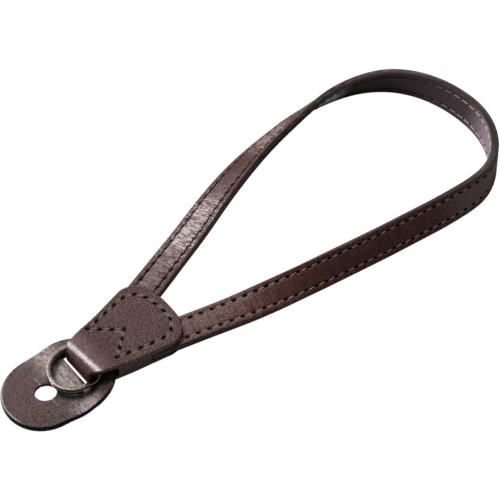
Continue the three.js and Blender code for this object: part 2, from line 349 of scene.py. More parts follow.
def pick(kind, wanted):
    """Selects the VERT, EDGE or FACE elements of the edited mesh whose middle passes the test."""
    bpy.ops.mesh.select_mode(type=kind)
    bpy.ops.mesh.select_all(action="DESELECT")
    mesh = bmesh.from_edit_mesh(bpy.context.object.data)
    elements = {"VERT": mesh.verts, "EDGE": mesh.edges, "FACE": mesh.faces}[kind]
    for element in elements:
        if kind == "VERT":
            middle = element.co
        elif kind == "EDGE":
            middle = (element.verts[0].co + element.verts[1].co) / 2
        else:
            middle = element.calc_center_median()
        if wanted(middle):
            element.select_set(True)
    mesh.select_flush_mode()
    bmesh.update_edit_mesh(bpy.context.object.data)


def face_outwards():
    """Turns all faces of the edited piece outwards, and leaves edit mode."""
    bpy.ops.mesh.select_all(action="SELECT")
    bpy.ops.mesh.normals_make_consistent(inside=False)
    clear_bench()


def fix_place():
    """Moves the active object's place, turn and size into its mesh."""
    bpy.ops.object.transform_apply(location=True, rotation=True, scale=True)


clear_bench()
print("the bench is clear, with", len(bpy.context.selected_objects), "objects selected")


# %% Modifiers and joining
def apply(piece, kind, **settings):
    """Adds a modifier and applies it at once."""
    take(piece)
    modifier = piece.modifiers.new(kind.lower(), kind)
    for name, value in settings.items():
        setattr(modifier, name, value)
    bpy.ops.object.modifier_apply(modifier=modifier.name)


def cut_away(piece, tool):
    apply(piece, "BOOLEAN", operation="DIFFERENCE", object=tool, solver="EXACT")
    bpy.data.objects.remove(tool)


def join(pieces, name):
    clear_bench()
    for piece in pieces:
        piece.select_set(True)
    bpy.context.view_layer.objects.active = pieces[0]
    bpy.ops.object.join()
    pieces[0].name = name
    return pieces[0]


print("modifiers are applied as they are added")


# %% Points and marks
def points(piece):
    flat = np.empty(len(piece.data.vertices) * 3)
    piece.data.vertices.foreach_get("co", flat)
    return flat.reshape(-1, 3)


def facing(piece):
    flat = np.empty(len(piece.data.vertices) * 3)
    piece.data.vertices.foreach_get("normal", flat)
    return flat.reshape(-1, 3)


def move_to(piece, places):
    piece.data.vertices.foreach_set("co", np.asarray(places, dtype=np.float64).ravel())
    piece.data.update()


def remember(piece):
    """Keeps each point's place on the bench, for patterns that follow the leather."""
    kept = piece.data.attributes.new("bench", "FLOAT_VECTOR", "POINT")
    kept.data.foreach_set("vector", points(piece).ravel())


def put_mark(piece, name, values):
    kept = piece.data.attributes.new(name, "FLOAT", "POINT")
    kept.data.foreach_set("value", np.clip(values, 0.0, 1.0))


print("points can be read, moved and marked")


# %% Handing a piece over
def finish_piece(piece, body, slot, *nodes):
    """Says which body a piece rides on and which solids it stands for. slot is not used."""
    take(piece)
    bpy.ops.object.shade_smooth_by_angle(angle=math.radians(50))
    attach(piece, body)
    if nodes:
        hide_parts(*nodes)
    print(piece.name, "has", len(piece.data.polygons), "faces")


def settle(piece, body, slot, *nodes):
    """Moves a shaped piece from the bench into the model, and hands it over."""
    move_to(piece, points(piece) * MM + np.array(BENCH))
    finish_piece(piece, body, slot, *nodes)


# %% Smooth steps and ripples
def smooth_rise(values, low, high):
    """0 below low, 1 above high, and smooth between them."""
    t = np.clip((values - low) / (high - low), 0.0, 1.0)
    return t * t * (3.0 - 2.0 * t)


def bell(values, width, power=2):
    """1 at 0, and smoothly down to nothing on both sides."""
    return np.exp(-((values / width) ** power))


def ripple(places, lengths, seed):
    """Gentle unevenness, from -1 to 1, whose waves have these lengths in x, y and z."""
    scaled = places / np.asarray(lengths) + seed
    return np.array([noise.noise(Vector(p)) for p in scaled])


print("halfway up a smooth step is", round(float(smooth_rise(0.5, 0.0, 1.0)), 2))

# %% [markdown]
# ## The way the band lies
# The band leaves the tab flat, grain up, twists up until it stands on its edge, and comes back. A
# curve object could carry it, but its twist is hard to steer. So the table below gives its heading and
# its lean at some lengths, nearly as in the solid model: only the root of the left leg is half a
# millimetre to the side. A smooth curve goes through the table, and short steps along it give the place
# of each bit of band.

# %% The route
BAND_LENGTH = 366.0
BAND_HALF = 5.5
BAND_THICKNESS = 2.8
BAND_FLAT_END = 16.0
BAND_REST = 1.75
BAND_DROP = 26.0
ROUTE_START = (23.5, 5.85)
ROUTE = np.array(
    [
        # length along, heading from +X, lean
        (0, 18.75, 0),
        (16, 18.75, 0),
        (30, 20.3, 5),
        (48, 21.5, 8),
        (70, 16.7, 20),
        (92, 10, 36),
        (114, 4.2, 50),
        (128, -5.8, 64),
        (140, -17.8, 72),
        (152, -36.2, 83),
        (164, -60.5, 92),
        (176, -78.5, 99.5),
        (188, -93.3, 102),
        (200, -112.3, 96.5),
        (212, -133.4, 87),
        (224, -159, 77.5),
        (236, -181, 61),
        (248, -186.5, 53),
        (272, -188.6, 49),
        (296, -190.8, 44),
        (318, -193.1, 21),
        (335, -194.5, 4),
        (350, -195, 0),
        (366, -195, 0),
    ],
    dtype=float,
)
print("the route has", len(ROUTE), "stations")


# %% A smooth curve through the stations
def smooth_column(column, at):
    """A column of the route table at any length, on a curve that doesn't overshoot."""
    known, value = ROUTE[:, 0], ROUTE[:, column]
    gap = np.diff(known)
    rate = np.diff(value) / gap
    slope = np.empty(len(known))
    slope[0], slope[-1] = rate[0], rate[-1]
    blended = (rate[:-1] * gap[1:] + rate[1:] * gap[:-1]) / (gap[1:] + gap[:-1])
    slope[1:-1] = np.where(rate[:-1] * rate[1:] <= 0, 0.0, blended)
    i = np.clip(np.searchsorted(known, at, side="right") - 1, 0, len(known) - 2)
    u = (at - known[i]) / gap[i]
    start = (2 * u**3 - 3 * u**2 + 1) * value[i] + (u**3 - 2 * u**2 + u) * gap[i] * slope[i]
    end = (3 * u**2 - 2 * u**3) * value[i + 1] + (u**3 - u**2) * gap[i] * slope[i + 1]
    return start + end


STEP = 0.5
route_at = np.arange(0.0, BAND_LENGTH + STEP / 2, STEP)
halfway = np.radians(smooth_column(1, np.minimum(route_at[:-1] + STEP / 2, BAND_LENGTH)))
route_x = ROUTE_START[0] + np.concatenate([[0.0], np.cumsum(STEP * np.cos(halfway))])
route_y = ROUTE_START[1] + np.concatenate([[0.0], np.cumsum(STEP * np.sin(halfway))])
route_heading = np.radians(smooth_column(1, route_at))
route_lean = np.radians(smooth_column(2, route_at))
from_tab = np.maximum(np.minimum(route_at, BAND_LENGTH - route_at) - BAND_FLAT_END, 0.0)
resting = BAND_HALF * np.sin(route_lean) + BAND_THICKNESS / 2 * np.abs(np.cos(route_lean))
route_z = resting + BAND_REST * bell(from_tab, BAND_DROP)
print("the loop reaches", round(float(route_x.max()), 1), "mm beyond the ring")


# %% Laying a piece along the route
def lay(piece):
    """Bends a piece from the flat bench, where x runs along the band, y across it and z out of its
    grain face, on to the band's route in the model."""
    along, across, out = points(piece).T
    heading = np.interp(along, route_at, route_heading)
    lean = np.interp(along, route_at, route_lean)
    middle = np.stack([np.interp(along, route_at, r) for r in (route_x, route_y, route_z)], 1)
    inward = np.stack([np.sin(heading), -np.cos(heading), np.zeros(len(along))], 1)
    up = np.array([0.0, 0.0, 1.0])
    cosine, sine = np.cos(lean)[:, None], np.sin(lean)[:, None]
    side = inward * cosine + up * sine
    grain_way = -inward * sine + up * cosine
    places = middle - side * across[:, None] + grain_way * out[:, None]
    move_to(piece, places * MM + np.array(BENCH))


print("the band stands up to", round(float(np.degrees(route_lean.max()))), "degrees on its edge")

# %% [markdown]
# ## The band's two leathers
# The outer strip is grain leather, the inner strip a thinner, smoother lining. A real band is cut,
# glued and stitched flat and bent afterwards, and it is modelled so too, because its seams are straight
# lines as long as it is flat. Each strip is a grid fine enough to carry creases and stitch holes, with
# its long edges extruded round in small steps for the shoulder and then down for the cut side. Bridging
# the two lower edges closes the back.

# %% A flat strip
SHOULDER_STEPS = 4


def flat_strip(name, half, face, back, shoulder, along, across):
    """A flat strip of leather. face is the height of its good side, and back of its glued side."""
    clear_bench()
    flat_half = half - shoulder
    bpy.ops.mesh.primitive_grid_add(x_subdivisions=along, y_subdivisions=across, size=1.0)
    strip = bpy.context.object
    strip.name = name
    edit(strip)
    bpy.ops.mesh.select_all(action="SELECT")
    bpy.ops.transform.resize(value=(BAND_LENGTH, 2 * flat_half, 1.0), center_override=(0, 0, 0))
    bpy.ops.transform.translate(value=(BAND_LENGTH / 2, 0.0, face))
    pick("EDGE", lambda p: abs(abs(p.y) - flat_half) < 1e-3)
    turn_down = math.copysign(1.0, back - face)
    width, height = flat_half, face
    for step in range(1, SHOULDER_STEPS + 1):
        angle = math.radians(90 / SHOULDER_STEPS * step)
        wider = flat_half + shoulder * math.sin(angle)
        lower = face + turn_down * shoulder * (1 - math.cos(angle))
        bpy.ops.mesh.extrude_edges_move(TRANSFORM_OT_translate={"value": (0, 0, lower - height)})
        bpy.ops.transform.resize(value=(1, wider / width, 1), center_override=(0, 0, 0))
        width, height = wider, lower
    for share in (0.5, 1.0):
        lower = face + turn_down * (shoulder + (abs(back - face) - shoulder) * share)
        bpy.ops.mesh.extrude_edges_move(TRANSFORM_OT_translate={"value": (0, 0, lower - height)})
        height = lower
    bpy.ops.mesh.bridge_edge_loops()
    for end in (0.0, BAND_LENGTH):
        pick("EDGE", lambda p, end=end: abs(p.x - end) < 1e-3)
        bpy.ops.mesh.edge_face_add()
    face_outwards()
    return strip


print("a shoulder is rounded in", SHOULDER_STEPS, "steps")

# %% Cut the two strips
GRAIN_FACE = 1.4
LINING_FACE = -1.4
GLUE_LINE = -0.23
grain = flat_strip("band_grain", BAND_HALF, GRAIN_FACE, GLUE_LINE + 0.01, 0.42, 1464, 38)
lining = flat_strip("band_lining", BAND_HALF - 0.08, LINING_FACE, GLUE_LINE - 0.01, 0.3, 720, 26)
remember(grain)
remember(lining)
print("two strips,", len(grain.data.polygons), "and", len(lining.data.polygons), "faces")

# %% [markdown]
# ## Stitch holes and creases
# A tight seam pulls a groove into the leather and each hole a small slanted pit, and the leather
# between the two seams rises like a low pillow. Where the band is clamped by the tab it is creased
# across. These are shallow shapes over the whole strip, so the points are moved by sums of their
# place, which no hand tool does evenly over ninety stitches.

# %% Relief of a strip
SEAM = 3.4  # from the middle of the band to each row of stitches
PITCH = 4.0  # from one stitch hole to the next
FIRST_HOLE = 1.0
HOLE_LENGTH, HOLE_WIDTH = 0.62, 0.36
MARGIN, MARGIN_WIDTH = 4.35, 0.6  # the rim that rises outside the seam


def seam_relief(piece, groove, pit, pillow, slant, softness):
    """How deep each point of a flat strip is pulled in by its seams. groove, pit and pillow are
    heights, and slant turns the holes."""
    x, y, _ = points(piece).T
    from_seam = np.abs(y) - SEAM
    nearest = np.round((x - FIRST_HOLE) / PITCH) * PITCH + FIRST_HOLE
    along = x - nearest - slant * from_seam * np.sign(y)
    hole = bell(along, HOLE_LENGTH, 4) * bell(from_seam, HOLE_WIDTH, 4)
    between = 0.75 + 0.25 * np.cos(2 * np.pi * (x - FIRST_HOLE) / PITCH)
    channel = bell(from_seam, softness) * between
    raised = np.clip(1 - (y / (SEAM - 0.3)) ** 2, 0, 1) ** 0.7
    margin = bell(np.abs(y) - MARGIN, MARGIN_WIDTH)
    return groove * channel + pit * hole - pillow * raised - 0.4 * pillow * margin


print("a hole is", 2 * HOLE_LENGTH, "by", 2 * HOLE_WIDTH, "mm")

# %% Relief of the grain leather
flat_places = points(grain)
near_tab = np.minimum(flat_places[:, 0], BAND_LENGTH - flat_places[:, 0])
on_face = smooth_rise(flat_places[:, 2], 0.7, 1.2)
depth = seam_relief(grain, groove=0.26, pit=0.55, pillow=0.11, slant=-0.5, softness=0.34)
folds = ripple(flat_places, (1.5, 7.0, 9.0), 3.1) + 0.5 * ripple(flat_places, (0.8, 3.5, 9.0), 7.7)
creased = 0.30 + 0.70 * (1 - smooth_rise(near_tab, 16.0, 60.0))
swell = ripple(flat_places, (9.0, 5.0, 9.0), 12.3)
flat_places[:, 2] += on_face * (-depth + 0.030 * creased * folds + 0.05 * swell)
move_to(grain, flat_places)
print("the deepest stitch hole is", round(float(depth.max()), 2), "mm")

# %% Relief of the lining
flat_places = points(lining)
on_face = smooth_rise(-flat_places[:, 2], 1.0, 1.3)
depth = seam_relief(lining, groove=0.10, pit=0.30, pillow=0.05, slant=0.0, softness=0.30)
flat_places[:, 2] += on_face * (depth + 0.03 * ripple(flat_places, (8.0, 5.0, 9.0), 5.2))
move_to(lining, flat_places)
print("the deepest hole in the lining is", round(float(depth.max()), 2), "mm")

# %% [markdown]
# ## One stitch
# The seam is one thread on each face, locked in every hole. A stitch dives out of one hole, runs
# along the groove and dives into the next. One is modelled from a small circle that is extruded along
# that path, and the rows of the band repeat it with an Array modifier, still flat on the bench. A
# curve with a bevel would do too, but its ends are harder to sink.

# %% Model a stitch
STITCH_SIDES = 8
STITCH_PATH = [
    # share of the pitch, height over the leather's face, thickness share
    (0.03, -0.62, 0.8),
    (0.07, -0.26, 0.95),
    (0.16, 0.0, 1.0),
    (0.33, 0.10, 1.04),
    (0.5, 0.12, 1.05),
    (0.67, 0.10, 1.04),
    (0.84, 0.0, 1.0),
    (0.93, -0.26, 0.95),
    (0.97, -0.62, 0.8),
]


def make_stitch(name, length, radius, rise=1.0):
    """One stitch from the origin along +X, as if on a face at z = 0."""
    clear_bench()
    x, z, share = STITCH_PATH[0]
    bpy.ops.mesh.primitive_circle_add(
        vertices=STITCH_SIDES,
        radius=radius * share,
        fill_type="NGON",
        location=(x * length, 0, z * rise),
        rotation=(0, math.pi / 2, 0),
    )
    stitch = bpy.context.object
    stitch.name = name
    fix_place()
    edit(stitch)
    bpy.ops.mesh.select_all(action="SELECT")
    for (x0, z0, s0), (x1, z1, s1) in zip(STITCH_PATH, STITCH_PATH[1:]):
        move = ((x1 - x0) * length, 0, (z1 - z0) * rise)
        bpy.ops.mesh.extrude_region_move(TRANSFORM_OT_translate={"value": move})
        bpy.ops.transform.resize(value=(s1 / s0,) * 3, center_override=(x1 * length, 0, z1 * rise))
    face_outwards()
    return stitch


print("a stitch has", len(STITCH_PATH), "rings of", STITCH_SIDES, "points")

# %% [markdown]
# ## The rows of stitches
# Thread is laid slantwise from hole to hole, because each hole is slit slantwise. The row is therefore
# sheared stitch by stitch after it is repeated. The ends of each stitch get a mark, so that painted
# shade can darken the thread where it goes down into its hole.

# %% Rows of stitches on the band
THREAD_LEAN = 0.5  # how far a stitch runs sideways from hole to hole
ROW_COUNT = int((BAND_LENGTH - 2 * FIRST_HOLE) / PITCH)
REPEAT = {
    "count": ROW_COUNT,
    "use_relative_offset": False,
    "use_constant_offset": True,
    "constant_offset_displace": (PITCH, 0, 0),
}


def stitch_rows(name, face, radius, rise, lean, dark_from, below=False):
    """Two rows of stitches on one face of the flat band. A stitch is marked for painted shade past
    dark_from, as a share of the pitch from its middle."""
    rows = []
    for y in (-SEAM, SEAM):
        row = make_stitch(name, PITCH, radius, rise)
        if below:
            edit(row)
            bpy.ops.mesh.select_all(action="SELECT")
            bpy.ops.transform.resize(value=(1, 1, -1), center_override=(0, 0, 0))
            face_outwards()
        take(row)
        row.location = (FIRST_HOLE, y, face)
        fix_place()
        apply(row, "ARRAY", **REPEAT)
        places = points(row)
        part = ((places[:, 0] - FIRST_HOLE) % PITCH) / PITCH - 0.5
        places[:, 1] += lean * part
        move_to(row, places)
        put_mark(row, "hole", smooth_rise(np.abs(part), dark_from, dark_from + 0.12))
        rows.append(row)
    both = join(rows, name)
    remember(both)
    return both


dark_rows = stitch_rows("band_stitches_outside", GRAIN_FACE - 0.26, 0.19, 1.0, THREAD_LEAN, 0.20)
tan_rows = stitch_rows("band_stitches_inside", LINING_FACE + 0.02, 0.23, 0.9, 0.0, 0.34, below=True)
print(ROW_COUNT, "stitches in a row")

# %% [markdown]
# ## Bending the band
# The strips and their thread are now bent on to the route together. All four go through the same
# sums, so the stitches stay in their holes.

# %% Lay the band
for piece, slot, nodes in (
    (grain, "grain_leather", ["loop_outer"]),
    (lining, "lining_leather", ["loop_lining"]),
    (dark_rows, "grain_leather", []),
    (tan_rows, "lining_leather", []),
):
    lay(piece)
    finish_piece(piece, "strap", slot, *nodes)

# %% [markdown]
# ## The tab
# The tab is one strip of leather folded round the ring and the guard, with the band's ends between
# its layers. A folded sheet would need both layers bent exactly alike. It is simpler to raise it as a
# solid, from the front of the fold to the broad end, by extruding one upright face through a row of
# sections, each with its own width, underside and top. Cutting tools then open the eye of the fold and
# the channels for the band. A fine remesh and some smoothing give the even, slightly rounded look of
# cut and burnished leather.

# %% Curves for outlines
TAB_HEIGHT = 6.4
TAB_RIDGE = 7.61
TAB_END = 38.2
NECK_HALF = 6.2
FOLD_RADIUS = 1.4


def bezier(a, b, c, d, count=24):
    t = np.linspace(0, 1, count)[:, None]
    a, b, c, d = (np.array(p, float) for p in (a, b, c, d))
    return (1 - t) ** 3 * a + 3 * (1 - t) ** 2 * t * b + 3 * (1 - t) * t**2 * c + t**3 * d


def quadratic(a, b, c, count=16):
    a, b, c = (np.array(p, float) for p in (a, b, c))
    return bezier(a, (a + 2 * b) / 3, (2 * b + c) / 3, c, count)


crest = np.concatenate(
    [
        [(FOLD_FRONT, 3.2)],
        bezier((1.7, 5.4), (2.2, 6.9), (3.5, TAB_RIDGE), (5.6, TAB_RIDGE)),
        bezier((5.6, TAB_RIDGE), (10, TAB_RIDGE), (14, TAB_HEIGHT), (19, TAB_HEIGHT)),
        [(TAB_END + 1, TAB_HEIGHT)],
    ]
)
outline = np.concatenate(
    [
        [(FOLD_FRONT, NECK_HALF), (2.3, NECK_HALF)],
        quadratic((2.3, NECK_HALF), (3.2, 7.9), (5.0, 7.9)),
        [(10.0, 9.35), (29.5, 14.4)],
        quadratic((29.5, 14.4), (36.2, 14.8), (37.8, 7.2)),
        quadratic((37.8, 7.2), (TAB_END, 4.0), (TAB_END, 0.3)),
    ]
)
print("the tab is up to", round(2 * float(outline[:, 1].max()), 1), "mm wide")


# %% Sections of the tab
def tab_top(x):
    return np.interp(x, crest[:, 0], crest[:, 1])


def tab_half(x):
    return np.interp(x, outline[:, 0], outline[:, 1])


def tab_under(x):
    before_middle = max(2 * FOLD_RADIUS - x, 0.0)
    return FOLD_RADIUS - math.sqrt(max(FOLD_RADIUS**2 - before_middle**2, 0.0))


# Sections lie closer together where the fold or the broad end turns faster.
fold_x = [1.4, 1.42, 1.5, 1.65, 1.9, 2.2, 2.6, 3.0, 3.4, 3.8, 4.2, 4.6, 5.0, 5.6]
body_x = [6.5, 8, 10, 12, 14, 16, 18, 20, 24, 29.5, 31, 32.5, 33.8, 34.8, 35.6, 36.2, 36.7, 37.1, 37.4]
tip_x = [37.6, 37.8, 37.9, 38.0, 38.08, 38.14, 38.18, TAB_END]
print(len(fold_x + body_x + tip_x), "sections")

# %% Raise the tab
clear_bench()
bpy.ops.mesh.primitive_plane_add(size=2.0, rotation=(0, math.pi / 2, 0))
tab = bpy.context.object
tab.name = "tab_leather"
fix_place()
edit(tab)
bpy.ops.mesh.select_all(action="SELECT")
at, half, middle, tall = 0.0, 1.0, 0.0, 1.0
for i, x in enumerate(fold_x + body_x + tip_x):
    low, high = tab_under(x), float(tab_top(x))
    new_half, new_middle, new_tall = float(tab_half(x)), (low + high) / 2, (high - low) / 2
    shift = (x - at, 0, new_middle - middle)
    if i == 0:
        bpy.ops.transform.translate(value=shift)
    else:
        bpy.ops.mesh.extrude_region_move(TRANSFORM_OT_translate={"value": shift})
    scale = (1, new_half / half, new_tall / tall)
    bpy.ops.transform.resize(value=scale, center_override=(x, 0, new_middle))
    at, half, middle, tall = x, new_half, new_middle, new_tall
face_outwards()
print("the tab measures", [round(float(s), 1) for s in np.ptp(points(tab), axis=0)])


# %% A block for cutting
def box_tool(low, high, turn=0.0, pivot=(0, 0)):
    """A block between two corners, turned about an upright line, for cutting."""
    clear_bench()
    middle = [(a + b) / 2 for a, b in zip(low, high)]
    bpy.ops.mesh.primitive_cube_add(size=1.0, location=middle)
    tool = bpy.context.object
    tool.scale = [b - a for a, b in zip(low, high)]
    fix_place()
    tool.rotation_euler = (0, 0, turn)
    tool.location = (*pivot, 0)
    fix_place()
    return tool


BELOW = -1.0  # under everything, for blocks that cut right through
print("blocks for cutting start", -BELOW, "mm under the table")

# %% [markdown]
# ## The eye of the fold
# The ring turns inside the fold, and the guard's round end lies there too, so the eye is a disc. It is
# cut off straight at the front wall of the fold, and its roof comes down towards the stitched V. In
# front of it the fold is narrowed to the neck that passes through the guard's slot.

# %% Open the eye of the fold
GUARD_FAR, GUARD_FAR_RADIUS = (-1.1, -0.85), 14.1
EYE_CLEAR = 0.5
EYE_FLOOR, EYE_ROOF = 1.5, 6.01
EYE_FRONT = 3.2
ROOF_FALLS_FROM, ROOF_FALL = (10.2, 0, EYE_ROOF), (1.2, 0, 3.3)
NECK_BACK, PAST_THE_EDGE = 3.7, 9.0
clear_bench()
bpy.ops.mesh.primitive_cylinder_add(
    vertices=96,
    radius=GUARD_FAR_RADIUS + EYE_CLEAR,
    depth=EYE_ROOF - EYE_FLOOR,
    location=(*GUARD_FAR, (EYE_FLOOR + EYE_ROOF) / 2),
)
eye = bpy.context.object
fix_place()
edit(eye)
bpy.ops.mesh.select_all(action="SELECT")
bpy.ops.mesh.bisect(plane_co=(EYE_FRONT, 0, 0), plane_no=(1, 0, 0), use_fill=True, clear_inner=True)
bpy.ops.mesh.select_all(action="SELECT")
bpy.ops.mesh.bisect(plane_co=ROOF_FALLS_FROM, plane_no=ROOF_FALL, use_fill=True, clear_outer=True)
cut_away(tab, eye)
for side in (-1, 1):
    near, far = sorted((side * NECK_HALF, side * PAST_THE_EDGE))
    cut_away(tab, box_tool((0, near, BELOW), (NECK_BACK, far, EYE_ROOF)))
print("the eye is", round(EYE_ROOF - EYE_FLOOR, 2), "mm high")

# %% Cut the channels for the band's ends
CHANNEL_CLEAR = 0.03
CHANNEL_FROM, CHANNEL_TO = -0.25, 26
band_top = BAND_REST + BAND_THICKNESS
channel_low = (CHANNEL_FROM, -BAND_HALF - CHANNEL_CLEAR, BAND_REST - CHANNEL_CLEAR)
channel_high = (CHANNEL_TO, BAND_HALF + CHANNEL_CLEAR, band_top + CHANNEL_CLEAR)
for start, turn in ((ROUTE_START, ROUTE[0, 1]), ((route_x[-1], route_y[-1]), 180 + ROUTE[-1, 1])):
    start = [float(c) for c in start]
    cut_away(tab, box_tool(channel_low, channel_high, math.radians(turn), start))
print("two channels are cut")

# %% Even out and round the leather
apply(tab, "REMESH", mode="VOXEL", voxel_size=0.24, adaptivity=0.0)
apply(tab, "SMOOTH", factor=0.5, iterations=5)
print("the tab has", len(tab.data.polygons), "faces")

# %% [markdown]
# ## A little out of square
# The two sides of the tab were cut by hand and are not quite alike. After the cuts, when the mesh is
# even, its outer points are shifted sideways by up to three quarters of a millimetre. The middle, with
# the eye and the channels, stays.

# %% Skew the sides
tab_places = points(tab)
x, y, _ = tab_places.T
behind_fold = smooth_rise(x, 3.8, 6.5) * (1 - smooth_rise(x, 12.0, 30.0))
left_shift = -0.15 * smooth_rise(x, 8.0, 14.0) - 0.45 * smooth_rise(x, 27.0, 35.0)
right_shift = 0.25 * smooth_rise(x, 27.0, 36.0) - 0.75 * behind_fold
skew = np.where(y > 0, left_shift, right_shift) * smooth_rise(np.abs(y), 2.0, 7.5)
tab_places[:, 1] += skew
move_to(tab, tab_places)
remember(tab)
print("the sides are shifted by up to", round(float(np.abs(skew).max()), 2), "mm")

# %% [markdown]
# ## The tab's seam
# The seam runs round the broad end, close to the edge, and comes back in a V that holds the fold
# shut behind the ring. Its holes are spaced evenly along each leg. The path is a few corners that are
# rounded by cutting them again and again, which needs fewer points than a drawn curve.

# %% Holes of the tab's seam
V_LEFT, V_POINT, V_RIGHT = (12.0, 8.0), (21.1, 0.3), (12.8, -7.0)
STITCHES_OF_A_LEG, STITCHES_ROUND = 3, 15
CORNER_CUTS = 3
ROUND_THE_END = [
    V_RIGHT,
    (22.4, -9.2),
    (30.4, -11.0),
    (34.2, -8.6),
    (35.6, -4.6),
    (35.4, 0.0),
    (34.8, 4.4),
    (33.7, 8.2),
    (30.9, 10.8),
    (26.8, 11.0),
    (19.5, 9.6),
    V_LEFT,
]


def spaced(path, count):
    """count + 1 places at even distances along a rounded path."""
    fine = np.array(path, float)
    for _ in range(CORNER_CUTS if len(path) > 2 else 0):
        near, far = fine[:-1] * 0.75 + fine[1:] * 0.25, fine[:-1] * 0.25 + fine[1:] * 0.75
        mixed = np.stack([near, far], 1).reshape(-1, 2)
        fine = np.concatenate([fine[:1], mixed, fine[-1:]])
    run = np.concatenate([[0.0], np.cumsum(np.hypot(*np.diff(fine, axis=0).T))])
    even = np.linspace(0, run[-1], count + 1)
    return np.stack([np.interp(even, run, fine[:, k]) for k in (0, 1)], 1)


tab_holes = np.concatenate(
    [
        spaced([V_LEFT, V_POINT], STITCHES_OF_A_LEG)[:-1],
        spaced([V_POINT, V_RIGHT], STITCHES_OF_A_LEG)[:-1],
        spaced(ROUND_THE_END, STITCHES_ROUND),
    ]
)
print("the tab's seam has", len(tab_holes) - 1, "stitches")

# %% [markdown]
# ## Relief of the tab
# Each hole of this seam is a pit with a small raised lip, and the thread presses a groove between
# them. For every point of the tab the nearest stitch is looked up, and the point is lowered by a sum
# of bell curves. The lip is not raised: the same sums leave marks for the finish, where leather is
# cut, holed or pressed, and where painted highlights and painted shade go.

# %% Where the tab's seam presses
PIT_LENGTH, PIT_WIDTH, PIT_SLANT = 0.88, 0.46, 0.35
LIP_LENGTH, LIP_WIDTH = 1.2, 0.26
flat = points(tab)[:, :2]
from_seam = np.full(len(flat), 99.0)
hole, lip = np.zeros(len(flat)), np.zeros(len(flat))
for a, b in zip(tab_holes, tab_holes[1:]):
    run = b - a
    share = np.clip(((flat - a) @ run) / (run @ run), 0, 1)
    from_seam = np.minimum(from_seam, np.hypot(*(flat - a - share[:, None] * run).T))
    way = run / np.hypot(*run)
    along = (flat - a) @ way
    beside = (flat - a) @ np.array([-way[1], way[0]])
    hole = np.maximum(hole, bell(along - PIT_SLANT * beside, PIT_LENGTH, 4) * bell(beside, PIT_WIDTH, 4))
    lip = np.maximum(lip, bell(along - 1.5, LIP_LENGTH, 4) * bell(beside + 0.55, LIP_WIDTH))
print(int((from_seam < 0.5).sum()), "points lie in the groove")

# %% Press the seam in
BRIM_LOW, BRIM_HIGH = 5.2, 5.7  # heights between which the upper layer curves over
GROOVE_DEPTH, GROOVE_WIDTH = 0.20, 0.38
DIP_DEPTH, DIP_WIDTH = 0.16, 1.5
PIT_DEPTH = 0.5
SWOLLEN = 0.06
tab_places = points(tab)
tab_normals = facing(tab)
on_top = smooth_rise(tab_normals[:, 2], 0.55, 0.9) * smooth_rise(tab_places[:, 2], BRIM_LOW, BRIM_HIGH)
sunk = GROOVE_DEPTH * bell(from_seam, GROOVE_WIDTH) + DIP_DEPTH * bell(from_seam, DIP_WIDTH)
sunk += PIT_DEPTH * hole
uneven = 0.05 * ripple(tab_places, (6.0, 6.0, 6.0), 4.4)
tab_places[:, 2] += on_top * (SWOLLEN - sunk + uneven)
move_to(tab, tab_places)
print("the seam is pressed in by up to", round(float((on_top * sunk).max()), 2), "mm")

# %% Mark the tab
# The crest, lip and brim marks carry painted highlights, and the brim and rim marks painted shade.
CREST_AT, CREST_SLANT, CREST_WIDTH = 4.3, 0.09, 0.7
side_wall = smooth_rise(np.maximum(np.abs(tab_normals[:, 1]), tab_normals[:, 0]), 0.5, 0.7)
brim = smooth_rise(tab_places[:, 2], BRIM_LOW, BRIM_HIGH) * (1 - on_top)
from_crest = tab_places[:, 0] - CREST_AT + CREST_SLANT * tab_places[:, 1]
put_mark(tab, "hole", hole * on_top)
put_mark(tab, "paint", side_wall)
put_mark(tab, "lip", lip * on_top * (1 - hole))
put_mark(tab, "brim", brim * smooth_rise(tab_places[:, 0], 8.0, 11.0))
put_mark(tab, "crest", bell(from_crest, CREST_WIDTH) * smooth_rise(tab_places[:, 2], 6.4, 7.0))
put_mark(tab, "rim", bell(from_seam, 0.5) * on_top)
print(int((brim > 0.5).sum()), "points lie on the brim")

# %% Thread of the tab
TAB_THREAD = 0.27
THREAD_SINK = 0.34  # how deep the thread lies under the smooth top
STITCH_SLANT = 0.05
tab_stitches = []
for i, (a, b) in enumerate(zip(tab_holes, tab_holes[1:])):
    run = b - a
    length = float(np.hypot(*run))
    stitch = make_stitch(f"tab_stitch_{i}", length, TAB_THREAD)
    put_mark(stitch, "hole", smooth_rise(np.abs(points(stitch)[:, 0] / length - 0.5), 0.16, 0.30))
    heights = tab_top(np.array([a[0], b[0]])) - THREAD_SINK
    place = Matrix.Translation((a[0], a[1], heights[0]))
    turn = Matrix.Rotation(math.atan2(run[1], run[0]) + STITCH_SLANT, 4, "Z")
    dip = Matrix.Rotation(-math.atan2(heights[1] - heights[0], length), 4, "Y")
    stitch.data.transform(place @ turn @ dip)
    tab_stitches.append(stitch)
tab_thread = join(tab_stitches, "tab_stitches")
remember(tab_thread)
settle(tab, "strap", "tab_leather", "tab_shield")
settle(tab_thread, "strap", "tab_leather")

# %% [markdown]
# ## The guard
# The guard is a flat piece of leather with two round ends, a hole for the camera's lug with a cut on
# each side of it, and a slot that the tab passes through. A disc is drawn out to that outline, given
# its thickness and cut while it is flat, because the holes are then plain blocks and cylinders. A fine
# remesh gives it enough points to be bent.

